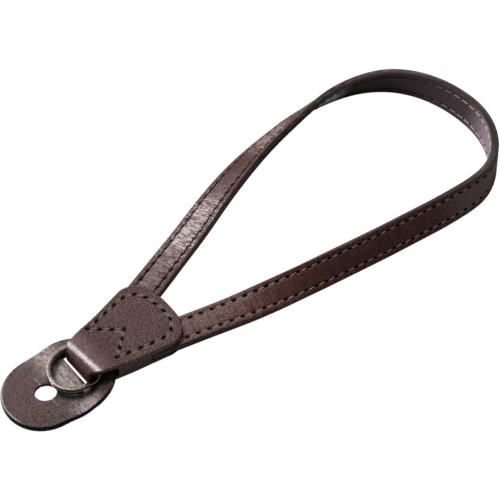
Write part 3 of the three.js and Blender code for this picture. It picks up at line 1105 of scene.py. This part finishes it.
# %% Draw the outline
GUARD_THICK = 1.3
GUARD_NEAR, GUARD_NEAR_RADIUS = (-11.2, 0.1), 13.7
clear_bench()
bpy.ops.mesh.primitive_circle_add(
    vertices=128, radius=GUARD_FAR_RADIUS, fill_type="NGON", location=(*GUARD_FAR, 0)
)
guard = bpy.context.object
guard.name = "guard_leather"
fix_place()
edit(guard)
pick("VERT", lambda p: p.x < GUARD_FAR[0] + 1e-4)
share = GUARD_NEAR_RADIUS / GUARD_FAR_RADIUS
bpy.ops.transform.resize(value=(share, share, 1), center_override=(*GUARD_FAR, 0))
bpy.ops.transform.translate(value=(GUARD_NEAR[0] - GUARD_FAR[0], GUARD_NEAR[1] - GUARD_FAR[1], 0))
bpy.ops.mesh.select_all(action="SELECT")
bpy.ops.mesh.extrude_region_move(TRANSFORM_OT_translate={"value": (0, 0, GUARD_THICK)})
face_outwards()
print("the guard is", [round(float(s), 1) for s in np.ptp(points(guard), axis=0)])

# %% Cut the hole, the slits and the slot
HOLE, HOLE_RADIUS = (-10.95, -0.35), 3.5
HOLE_TURN, HOLE_STRETCH = math.radians(-41), (1.02, 0.87, 1.0)
SLIT_HALF, SLIT_REACH = 0.15, 6.5
SLOT_FRONT, SLOT_BACK, SLOT_HALF = 0.3, 3.45, NECK_HALF + 0.25
ABOVE = 3.0
clear_bench()
bpy.ops.mesh.primitive_cylinder_add(
    vertices=64, radius=HOLE_RADIUS, depth=2 * ABOVE, location=(*HOLE, 0), rotation=(0, 0, HOLE_TURN)
)
punch = bpy.context.object
punch.scale = HOLE_STRETCH
fix_place()
cut_away(guard, punch)
slit_low = (HOLE[0] - SLIT_HALF, HOLE[1] - SLIT_REACH, BELOW)
slit_high = (HOLE[0] + SLIT_HALF, HOLE[1] + SLIT_REACH, ABOVE)
cut_away(guard, box_tool(slit_low, slit_high))
cut_away(guard, box_tool((SLOT_FRONT, -SLOT_HALF, BELOW), (SLOT_BACK, SLOT_HALF, ABOVE)))
apply(guard, "REMESH", mode="VOXEL", voxel_size=0.14, adaptivity=0.0)
apply(guard, "SMOOTH", factor=0.5, iterations=1)
remember(guard)
print("the guard has", len(guard.data.polygons), "faces")

# %% [markdown]
# ## The edges of the guard
# The cut edges are painted black, and the paint is widest where the edge is rolled down at the front.
# Behind it a thin pale line is a painted highlight. To mark all this, each point needs to know how far
# it is from the outline and which way the outline faces there. A formula for two circles joined by
# straight sides gives both.


# %% How far from the outline
def outside_guard(x, y):
    """How far places are outside the guard's outline. Inside it the distance is negative."""
    far, near = np.array(GUARD_FAR), np.array(GUARD_NEAR)
    length = math.hypot(*(near - far))
    way = (near - far) / length
    down = (x - far[0]) * way[0] + (y - far[1]) * way[1]
    across = np.abs((x - far[0]) * way[1] - (y - far[1]) * way[0])
    taper = (GUARD_FAR_RADIUS - GUARD_NEAR_RADIUS) / length
    level = math.sqrt(1 - taper * taper)
    along = down * level - across * taper
    side = across * level + down * taper - GUARD_FAR_RADIUS
    far_end = np.hypot(across, down) - GUARD_FAR_RADIUS
    near_end = np.hypot(across, down - length) - GUARD_NEAR_RADIUS
    return np.where(along < 0, far_end, np.where(along > level * length, near_end, side))


print("the hole is", round(float(-outside_guard(*np.array(HOLE))), 1), "mm inside the outline")

# %% Distances and directions on the guard
FRONT_WAY, LEFT_WAY = (-0.65, -0.76), (-0.76, 0.65)
NUDGE = 0.01
guard_places = points(guard)
guard_normals = facing(guard)
x, y, _ = guard_places.T
hole_wall = np.hypot(x - HOLE[0], y - HOLE[1]) - HOLE_RADIUS
slot_middle, slot_reach = (SLOT_FRONT + SLOT_BACK) / 2, (SLOT_BACK - SLOT_FRONT) / 2
slot_wall = np.maximum(np.abs(x - slot_middle) - slot_reach, np.abs(y) - SLOT_HALF)
inset = np.minimum(np.minimum(-outside_guard(x, y), hole_wall), slot_wall)
out_x = (outside_guard(x + NUDGE, y) - outside_guard(x - NUDGE, y)) / (2 * NUDGE)
out_y = (outside_guard(x, y + NUDGE) - outside_guard(x, y - NUDGE)) / (2 * NUDGE)
facing_front = FRONT_WAY[0] * out_x + FRONT_WAY[1] * out_y
facing_left = LEFT_WAY[0] * out_x + LEFT_WAY[1] * out_y
clear_of_hole = hole_wall > 2.0
print("no point is more than", round(float(inset.max()), 1), "mm from an edge")

# %% Mark the edges
PAINT_LEAST, PAINT_EXTRA, PAINT_FADE = 0.10, 0.50, 0.16
HIGHLIGHT_INSET, HIGHLIGHT_WIDTH = 0.32, 0.17
paint_width = PAINT_LEAST + PAINT_EXTRA * smooth_rise(facing_front, 0.2, 0.8) * clear_of_hole
edge = 1 - smooth_rise(inset - paint_width, 0.0, PAINT_FADE)
# A painted highlight along the rounded front-left rim, behind the paint.
rim_highlight = bell(inset - paint_width - HIGHLIGHT_INSET, HIGHLIGHT_WIDTH) * clear_of_hole
rim_highlight *= smooth_rise(facing_front, -0.4, 0.2) * smooth_rise(facing_left, 0.3, 0.7)
from_hole = np.abs(y - HOLE[1])
inside_slit = (np.abs(x - HOLE[0]) < 0.42) * (from_hole > 3.1) * (from_hole < 6.6)
up_side = smooth_rise(guard_normals[:, 2], 0.3, 0.8)
put_mark(guard, "paint", edge * (1 - inside_slit))
put_mark(guard, "raw", inside_slit * (x > HOLE[0]))
put_mark(guard, "rim_highlight", rim_highlight * up_side)
print(int((edge > 0.5).sum()), "points are painted")

# %% [markdown]
# ## Bending the guard
# The guard lies on the back of the tab, steps down in front of the fold, and its free tip springs up a
# little. Its height is a curve of its length only, so it bends like real leather, without stretching.
# The near rim is pushed out a little at the bend, and the front edge is rolled down. The bend is
# creased, and a painted shadow of the ring lies on the leather under it.

# %% Bend the guard
guard_rise = np.concatenate(
    [
        bezier((-25.6, 1.4), (-19.0, 0.9), (-14.0, 0.9), (-8.0, 0.9)),
        bezier((-8.0, 0.9), (-4.0, 0.9), (-1.6, 1.75), (1.4, 1.75)),
        [(20.0, 1.75)],
    ]
)
ROLL, ROLL_WIDTH = 0.70, 0.95
BEND_AT, BEND_WIDTH = -3.5, 4.0
lift = np.interp(x, guard_rise[:, 0], guard_rise[:, 1])
bent = bell(x - BEND_AT, BEND_WIDTH)
wave = 0.05 * bent * ripple(guard_places, (0.9, 6.0, 9.0), 8.1)
rolled = smooth_rise(facing_front, 0.1, 0.8) * (1 - smooth_rise(inset, 0.0, ROLL_WIDTH))
rolled *= ROLL * clear_of_hole
# x and y look into guard_places, so y follows this move.
guard_places[:, 1] -= 0.6 * bell(x + 6.0, 4.5) * smooth_rise(-y, 8.0, 14.0)
guard_places[:, 2] += lift + up_side * (wave + 0.04 * ripple(guard_places, (4.0, 4.0, 9.0), 2.2) - rolled)
move_to(guard, guard_places)
print("the guard's tip springs up to", round(float(lift[x < -20].max()), 1), "mm over the table")

# %% Creases and the ring's painted shadow
RING_PLACE, RING_RADIUS = (0.6, -0.35), 9.0
# A painted shadow of the ring, shifted towards the front and wider there.
from_ring = np.hypot(x - RING_PLACE[0], y - RING_PLACE[1] + 0.9) - RING_RADIUS + 0.4
before_ring = FRONT_WAY[0] * (x - RING_PLACE[0]) + FRONT_WAY[1] * (y - RING_PLACE[1])
ring_shadow_width = 1.0 + 0.5 * smooth_rise(before_ring, -2.0, 4.0)
put_mark(guard, "ring_shadow", bell(from_ring, ring_shadow_width))
put_mark(guard, "bent", bent)
settle(guard, "strap", "guard_leather", "camera_guard")

# %% [markdown]
# ## The split ring
# A split ring is flat wire wound twice, so that a lug can be worked in between the turns. Its section
# is a small rectangle with rounded corners. The Screw modifier turns it round the ring's axis. Its
# own climb would be even all the way round, so the turns are wound level, and then the wire is lowered
# from the upper turn to the lower one over a short stretch, as in the real ring.

# %% Wind the ring
WIRE_WIDTH, WIRE_HEIGHT, COIL_GAP, RING_BASE = 1.5, 1.18, 0.1, 3.3
WIRE_TURN, TURN_STEPS = 678.0, 226
wire_middle = (RING_RADIUS - WIRE_WIDTH / 2, 0, RING_BASE + WIRE_HEIGHT / 2)
clear_bench()
bpy.ops.mesh.primitive_plane_add(size=1.0, rotation=(math.pi / 2, 0, 0))
ring = bpy.context.object
ring.name = "ring_wire"
fix_place()
edit(ring)
bpy.ops.mesh.select_all(action="SELECT")
bpy.ops.transform.resize(value=(WIRE_WIDTH, 1, WIRE_HEIGHT), center_override=(0, 0, 0))
bpy.ops.mesh.bevel(offset=0.22, segments=5, affect="VERTICES")
bpy.ops.mesh.delete(type="ONLY_FACE")
bpy.ops.mesh.select_all(action="SELECT")
bpy.ops.transform.translate(value=wire_middle)
clear_bench()
section_count = len(ring.data.vertices)
apply(
    ring,
    "SCREW",
    axis="Z",
    angle=math.radians(WIRE_TURN),
    screw_offset=0.0,
    steps=TURN_STEPS,
    render_steps=TURN_STEPS,
    use_merge_vertices=False,
    use_smooth_shade=True,
)
print("the wire's section has", section_count, "points")

# %% Lower the second turn
DROP_FROM, DROP_TO = 324.0, 356.0
UPPER_END = math.radians(295.0)
ring_places = points(ring)
x, y = ring_places[:, 0].copy(), ring_places[:, 1].copy()
from_middle = np.hypot(x, y) - wire_middle[0]
from_level = ring_places[:, 2] - wire_middle[2]
turned = np.arange(len(ring_places)) // section_count * WIRE_TURN / TURN_STEPS
ring_places[:, 2] += (WIRE_HEIGHT + COIL_GAP) * (1 - smooth_rise(turned, DROP_FROM, DROP_TO))
ring_places[:, 0] = RING_PLACE[0] + x * math.cos(UPPER_END) - y * math.sin(UPPER_END)
ring_places[:, 1] = RING_PLACE[1] + x * math.sin(UPPER_END) + y * math.cos(UPPER_END)
move_to(ring, ring_places)
print("the ring is", round(float(np.ptp(ring_places[:, 2])), 2), "mm high")

# %% Close the wire's ends
edit(ring)
bpy.ops.mesh.select_all(action="SELECT")
bpy.ops.mesh.fill_holes(sides=0)
face_outwards()
put_mark(ring, "across", np.abs(from_middle) / (WIRE_WIDTH / 2))
put_mark(ring, "up", np.abs(from_level) / (WIRE_HEIGHT / 2))
settle(ring, "ring", "aged_nickel", "split_ring")

# %% [markdown]
# ## Finishes
# All the leather was dyed the same deep brown, but each part takes it differently. The band is a
# creased grain leather with redder margins, the lining is smooth and darker, the tab is burnished,
# and the guard is pebbled. The cut sides are painted nearly black. The colours that several recipes
# share come first.

# %% Colours
DEEP_BROWN = (0.038, 0.0085, 0.007)
WORN_BROWN = (0.082, 0.026, 0.022)
RED_BROWN = (0.076, 0.013, 0.007)
# Painted sheen: the pale colour that is laid where highlights and glints fall.
PALE_SHEEN = (0.60, 0.48, 0.49)
EDGE_PAINT = (0.032, 0.018, 0.013)
# Painted shade, black, for stitch holes, their grooves and thread that goes down into a hole.
PIT_SHADE = (0.001, 0.001, 0.001)
LEATHER_SHINE = 0.28
print("the deep brown is", round(DEEP_BROWN[0] / DEEP_BROWN[2], 1), "times as red as it is blue")

# %% [markdown]
# ## Stitch pits
# The points of a strip lie too far apart for the crisp dark slit of a stitch hole. The relief gives
# the hollow, and the finish paints its shade from the same distances: painted shade, black inside
# each slanted hole and in the groove that leans from hole to hole.


# %% Stitch pits, drawn crisp
def seam_pits(x, y, slant, lean, length, width, groove_width):
    """Two amounts, from 0 to 1: inside the holes, and in the groove."""
    across = y.size() - SEAM
    side = y.of("SIGN")
    steps = (x - FIRST_HOLE) / PITCH
    along = ((steps + 0.5).of("FRACT") - 0.5) * PITCH - across * side * slant
    pit = 1 - ((along / length) ** 2 + (across / width) ** 2).rise(0.75, 1.2)
    from_thread = across - (steps.of("FRACT") - 0.5) * side * lean
    groove = 1 - from_thread.size().rise(groove_width, groove_width + 0.14)
    return pit, groove


print("a pit is drawn every", PITCH, "mm")

# %% [markdown]
# ## Grain leather of the band
# The creases are noise that is drawn out across the band, and they are deepest on the left leg next
# to the tab. That leg has two stretches of painted sheen with a dimmer one between them, and its
# margins carry painted highlights. The right leg was squeezed where it meets the tab, and is mottled
# and cracked there. The far bend gets a faint painted sheen. Places along the band are lengths of the
# route, so the wear and the painted sheen stay where they are if the band is laid another way.

# %% Grain leather: patterns
leather = Recipe("creased_grain_leather")
place = leather.bench_place()
x, y, z = leather.axes(place)
creases = leather.cloud(leather.stretch(place, (1.0, 0.22, 0.4)), 1.5, 4.0, 0.65, 0.8)
sheen = leather.cloud(leather.stretch(place, (0.22, 0.12, 0.4)), 1.0, 2.0, 0.5)
streaks = leather.cloud(leather.stretch(place, (0.22, 0.8, 2.2)), 1.7, 3.0, 0.6)
grain_cells = leather.cells(place, 2.4)
fine = leather.cloud(place, 1.7, 4.0, 0.7)
patches = leather.cloud(place, 0.10, 2.0)
print("the patterns take", len(leather.tree.nodes), "nodes")

# %% Grain leather: where it is worn, and where sheen is painted
creased = (1 - x.rise(45.0, 95.0)) * 0.80 + x.rise(315.0, 345.0) * 0.08 + 0.15
# Painted sheen: two pale stretches on the left leg, and a dimmer stretch between them.
sheen_first = x.rise(22.0, 40.0) * (1 - x.rise(53.0, 65.0))
sheen_second = x.rise(83.0, 92.0) * (1 - x.rise(98.0, 110.0))
sheen_stretches = sheen_first + sheen_second * 0.7
less_sheen = x.rise(64.0, 71.0) * (1 - x.rise(79.0, 87.0))
far_bend = x.rise(208.0, 226.0) * (1 - x.rise(236.0, 256.0))
right_leg = x.rise(205.0, 235.0)
near_right = x.rise(312.0, 334.0)
margin = y.size().rise(3.75, 4.2)
# Pale crumbs on the margins are painted highlights.
crumb_highlights = (fine * 0.6 + creases * 0.4).rise(0.50, 0.66)
cut_side = (y.size() + (fine - 0.5) * 0.10).rise(5.16, 5.28)
paint = (cut_side + (1 - z.rise(0.75, 0.95))).rise(0.3, 0.9)
pit, groove = seam_pits(x, y, -0.9, THREAD_LEAN, 0.70, 0.44, 0.24)
print("with the wear, it takes", len(leather.tree.nodes), "nodes")

# %% Grain leather: colour of the face
MOTTLED, CRACKED = (0.128, 0.043, 0.036), (0.017, 0.0045, 0.003)
tone = leather.mix(((creases - 0.5) * 1.6 + (fine - 0.5) * 1.2) + 0.5, DEEP_BROWN, WORN_BROWN)
tone = leather.mix(patches.rise(0.45, 0.62) * 0.45, tone, RED_BROWN)
# Painted sheen laid over the creased left leg, its sheen stretches, its margins and the far bend.
painted_sheen = creased * 0.17 + sheen_stretches * (sheen.rise(0.32, 0.62) * 0.34 + 0.24) - less_sheen * 0.05
tone = leather.mix(painted_sheen * (creases.rise(0.40, 0.62) * 1.7 + 0.1), tone, PALE_SHEEN)
tone = leather.mix(far_bend * 0.16, tone, PALE_SHEEN)
tone = leather.mix(near_right * (creases * 0.8 + fine * 0.4).rise(0.45, 0.75), tone, MOTTLED)
tone = leather.mix(near_right * (1 - creases.rise(0.38, 0.52)) * 0.78, tone, CRACKED)
tone = leather.mix(margin * 0.8, tone, RED_BROWN)
tone = leather.mix(margin * crumb_highlights * (sheen_stretches * 0.95 + 0.20), tone, PALE_SHEEN)
print("with the colour, it takes", len(leather.tree.nodes), "nodes")

# %% Grain leather: edges, pits and relief
SCUFFED_PAINT, SHADED_PAINT = (0.135, 0.092, 0.078), (0.012, 0.008, 0.006)
painted = leather.mix(streaks.rise(0.42, 0.62), EDGE_PAINT, SCUFFED_PAINT)
# Painted shade on the cut side, from the far bend along the right leg.
painted = leather.mix(x.rise(190.0, 212.0) * (1 - x.rise(262.0, 320.0)) * 0.8, painted, SHADED_PAINT)
tone = leather.mix(paint, tone, painted)
seam = (pit + groove * (1 - right_leg * 0.75)).rise(0.1, 0.9)
# Painted shade in the stitch holes and in the groove.
tone = leather.mix(seam * z.rise(0.2, 0.5), tone, PIT_SHADE)
wrinkles = (creased + 0.15) * (1 - right_leg * 0.5)
height = (creases * 1.1 * wrinkles + fine * 0.4 - grain_cells * 0.25) * (1 - paint * 0.85)
rough = 0.20 + fine * 0.14 + paint * 0.30 + pit * 0.5
leather.coat(grain, tone, rough, height, 0.00030, LEATHER_SHINE)

# %% [markdown]
# ## Lining leather
# The lining is smooth, with long streaks, because it was only rolled. Round the far bend it is
# painted pale as a painted highlight, and one short stretch at the start of the bend gets a brighter
# painted highlight.

# %% Lining leather
LINING_BROWN, STREAK_BROWN = (0.066, 0.044, 0.052), (0.076, 0.050, 0.056)
FAR_BEND_HIGHLIGHT, SHINING = (0.46, 0.38, 0.47), (0.90, 0.84, 0.95)
leather = Recipe("smooth_lining_leather")
place = leather.bench_place()
x, y, _ = leather.axes(place)
fine = leather.cloud(place, 3.2, 4.0, 0.6)
streaks = leather.cloud(leather.stretch(place, (0.12, 1.0, 1.0)), 1.1, 3.0)
paint = (y.size() + (fine - 0.5) * 0.1).rise(5.02, 5.12)
pit, groove = seam_pits(x, y, 0.0, 0.0, 0.45, 0.34, 0.24)
tone = leather.mix(streaks.rise(0.4, 0.7) * 0.5, LINING_BROWN, STREAK_BROWN)
# Painted highlight round the far bend.
tone = leather.mix(x.rise(187.0, 207.0) * (0.45 + fine * 0.6), tone, FAR_BEND_HIGHLIGHT)
# A brighter painted highlight at the start of the bend.
lit_end = x.rise(108.0, 114.0) * (1 - x.rise(128.0, 138.0)) * streaks.rise(0.36, 0.52)
tone = leather.mix(lit_end, tone, SHINING)
tone = leather.mix(paint, tone, EDGE_PAINT)
# Painted shade in the lining's stitch holes and groove.
tone = leather.mix((pit + groove * 0.6).rise(0.1, 0.9), tone, PIT_SHADE)
leather.coat(lining, tone, 0.30 + fine * 0.12, fine + streaks * 0.4, 0.00010, LEATHER_SHINE)

# %% [markdown]
# ## Tab leather
# The tab was burnished until it is smooth, but its pores still show. It is redder where it is pulled
# round the fold and held by the V, and behind the crest this is partly painted shade on the slope. A
# painted highlight runs along the crest of the fold, the brims and the lips of the holes get painted
# highlights, and painted shade lies on the far brims and round the seam. The marks that were left by
# the relief say where the holes, the brims and the painted sides are.

# %% Tab leather: patterns
leather = Recipe("burnished_tab_leather")
place = leather.bench_place()
x, y, z = leather.axes(place)
fine = leather.cloud(place, 1.4, 5.0, 0.72)
pores = leather.cells(place, 2.2)
patches = leather.cloud(place, 0.13, 3.0)
paint, hole, brim = leather.mark("paint"), leather.mark("hole"), leather.mark("brim")
fold = 1 - x.rise(7.0, 12.0)
behind_v = (1 - x.rise(12.0, 20.0)) * x.rise(5.0, 8.0)
print("the patterns take", len(leather.tree.nodes), "nodes")

# %% Tab leather: colour of the face
TAB_LIGHT, TAB_PORE, BEHIND_V = (0.100, 0.040, 0.037), (0.006, 0.002, 0.002), (0.050, 0.008, 0.004)
BRIM_SHADE, CREST_HIGHLIGHT, SEAM_SHADE = (0.006, 0.003, 0.002), (0.74, 0.67, 0.67), (0.014, 0.007, 0.006)
tone = leather.mix((fine - 0.5) * 4.5 + 0.5, DEEP_BROWN, TAB_LIGHT)
tone = leather.mix(patches.rise(0.42, 0.66) * 0.5, tone, RED_BROWN)
# Darker and redder behind the crest: partly the leather's own red, partly painted shade on the slope.
tone = leather.mix(behind_v * 0.8, tone, BEHIND_V)
tone = leather.mix(fine.rise(0.50, 0.66) * 0.16, tone, PALE_SHEEN)
tone = leather.mix((1 - fine.rise(0.34, 0.48)) * 0.9, tone, TAB_PORE)
tone = leather.mix(fold * 0.4, tone, RED_BROWN)
# Painted highlights on the rounded brims and on the lips beside the holes.
brim_and_lip_highlight = brim * fine.rise(0.45, 0.62) * 0.30 + leather.mark("lip") * fine * 0.6
tone = leather.mix(brim_and_lip_highlight, tone, PALE_SHEEN)
# Painted shade on the side and far brims.
tone = leather.mix(brim * (y.rise(3.0, 7.0) + x.rise(33.0, 36.0)), tone, BRIM_SHADE)
# A painted highlight along the crest of the fold.
tone = leather.mix(leather.mark("crest") * (fine.rise(0.36, 0.56) * 0.9 + 0.4), tone, CREST_HIGHLIGHT)
# Painted shade round the seam.
tone = leather.mix(leather.mark("rim") * 0.5, tone, SEAM_SHADE)
print("with the colour, it takes", len(leather.tree.nodes), "nodes")

# %% Tab leather: edges, pits and relief
PAINT_BODY, PAINT_SCUFF, PAINT_SHADE = (0.085, 0.062, 0.058), (0.170, 0.120, 0.110), (0.010, 0.007, 0.006)
painted = leather.mix(fine.rise(0.40, 0.60), PAINT_BODY, PAINT_SCUFF)
# Painted shade on the end wall and on the low back of the sides.
shaded_end = x.rise(35.0, 37.0) + x.rise(25.0, 30.0) * (1 - z.rise(4.0, 5.0))
tone = leather.mix(paint, tone, leather.mix(shaded_end, painted, PAINT_SHADE))
# Painted shade in the tab's stitch holes.
tone = leather.mix(hole.rise(0.2, 0.5), tone, PIT_SHADE)
height = (fine * 0.8 - pores * 0.35) * (1 - paint * 0.8) * (1 - fold * 0.5)
rough = 0.24 + fine * 0.14 - fold * 0.04 + hole * 0.5 + paint * 0.20 - behind_v * 0.08
leather.coat(tab, tone, rough, height, 0.00038, LEATHER_SHINE)

# %% [markdown]
# ## Guard leather
# The guard's grain is a fine pebble, which rounded Voronoi cells give. Its bend in front of the fold
# is creased and carries a painted sheen, its near brim is darker, and a black painted shadow of the
# wire lies under it.

# %% Guard leather: patterns
leather = Recipe("pebbled_guard_leather")
place = leather.bench_place()
_, y, _ = leather.axes(place)
pebbles = leather.cells(place, 1.6, "SMOOTH_F1", 0.6)
fine = leather.cloud(place, 1.8, 4.0, 0.7)
creases = leather.cloud(leather.stretch(place, (1.0, 0.26, 0.4)), 1.7, 3.0, 0.6, 0.6)
patches = leather.cloud(place, 0.12, 3.0)
paint, bent, ring_shadow = leather.mark("paint"), leather.mark("bent"), leather.mark("ring_shadow")
near_brim = (1 - y.rise(-13.0, 0.0)) * (1 - bent)
print("the patterns take", len(leather.tree.nodes), "nodes")

# %% Guard leather: colour and relief
GUARD_LIGHT, GUARD_PORE, NEAR_BRIM = (0.094, 0.044, 0.042), (0.006, 0.002, 0.002), (0.018, 0.005, 0.003)
RIM_HIGHLIGHT, RING_SHADOW_COLOUR, GUARD_PAINT = (0.70, 0.66, 0.68), (0.003, 0.002, 0.002), (0.004, 0.003, 0.003)
RAW_TAN = (0.36, 0.20, 0.12)
tone = leather.mix((fine - 0.5) * 5.0 + 0.5, DEEP_BROWN, GUARD_LIGHT)
tone = leather.mix(fine.rise(0.52, 0.68) * 0.07, tone, PALE_SHEEN)
tone = leather.mix((1 - fine.rise(0.34, 0.50)) * 0.8, tone, GUARD_PORE)
tone = leather.mix(patches.rise(0.42, 0.66) * 0.4, tone, RED_BROWN)
tone = leather.mix(near_brim * 0.45, tone, NEAR_BRIM)
# Painted sheen on the bend in front of the fold.
tone = leather.mix(bent * (creases - 0.5) * 3.0 + bent * 0.60, tone, PALE_SHEEN)
# Painted highlight on the rim.
tone = leather.mix(leather.mark("rim_highlight") * 0.75, tone, RIM_HIGHLIGHT)
# Painted shadow of the ring.
tone = leather.mix(ring_shadow * 0.9, tone, RING_SHADOW_COLOUR)
tone = leather.mix(paint, tone, GUARD_PAINT)
tone = leather.mix(leather.mark("raw") * fine.rise(0.38, 0.55), tone, RAW_TAN)
height = (fine * 0.7 - pebbles * 0.6 + creases * bent * 1.6) * (1 - paint * 0.9)
rough = 0.22 + fine * 0.12 + paint * 0.08 + ring_shadow * 0.3
leather.coat(guard, tone, rough, height, 0.00030, LEATHER_SHINE)

# %% [markdown]
# ## Thread
# The thread is waxed. Its plies wind round it, so a sine of the slanted place colours and raises them.
# Both threads of the band look dark next to the tab, and past a place along the band they get a
# painted pale highlight. A stitch is painted black, as shade, where it goes down into its hole.

# %% Thread
PLY_TURNS = 9.0
HIGHLIGHT_OVER = 30.0
THREADS = [
    # piece, name, dark and light colour, roughness, shine, length along the band where the painted highlight
    # starts
    (dark_rows, "band_thread", (0.004, 0.003, 0.002), (0.60, 0.43, 0.38), 0.55, 0.15, 212.0),
    (tab_thread, "dark_brown_thread", (0.030, 0.014, 0.010), (0.34, 0.24, 0.20), 0.50, 0.25, None),
    (tan_rows, "tan_thread", (0.018, 0.010, 0.008), (0.84, 0.60, 0.51), 0.45, 0.5, 166.0),
]
for piece, name, dark, light, rough, shine, highlight_from in THREADS:
    thread = Recipe(name)
    place = thread.bench_place()
    x, y, z = thread.axes(place)
    plies = ((x + y + z * 0.6) * PLY_TURNS).of("SINE") * 0.5 + 0.5
    paleness = plies * 0.5 + thread.cloud(place, 0.6, 2.0) * 0.4 + 0.2
    # The pale colour along the band is a painted highlight.
    if highlight_from:
        paleness = paleness * x.rise(highlight_from, highlight_from + HIGHLIGHT_OVER)
    tone = thread.mix(paleness, dark, light)
    tone = thread.mix(thread.mark("hole"), tone, PIT_SHADE)
    thread.coat(piece, tone, rough, plies, 0.00006, shine)

# %% [markdown]
# ## Nickel of the ring
# The wire was plated and has gone dull, and only its corners get a painted highlight. A corner is
# where a point is far from the middle of the wire's section both across and up, so the product of the
# two marks finds it, and no painted mask is needed.

# %% Nickel of the ring
DULL_NICKEL, TARNISH, CORNER_HIGHLIGHT = (0.080, 0.069, 0.060), (0.036, 0.029, 0.023), (0.84, 0.70, 0.54)
nickel = Recipe("aged_nickel_wire")
place = nickel.node("TexCoord").outputs["Object"]
wear = nickel.cloud(place, 900.0, 4.0, 0.6)
scratches = nickel.cloud(nickel.stretch(place, (1.0, 1.0, 6.0)), 1500.0, 3.0, 0.7)
corner = (nickel.mark("across") * nickel.mark("up")).rise(0.745, 0.81)
tone = nickel.mix(wear.rise(0.40, 0.62) * 0.8, DULL_NICKEL, TARNISH)
tone = nickel.mix(corner * (0.5 + wear * 0.6), tone, CORNER_HIGHLIGHT)
rough = 0.16 + scratches * 0.12 - corner * 0.06
nickel.coat(ring, tone, rough, scratches, 0.00002, metallic=1.0)
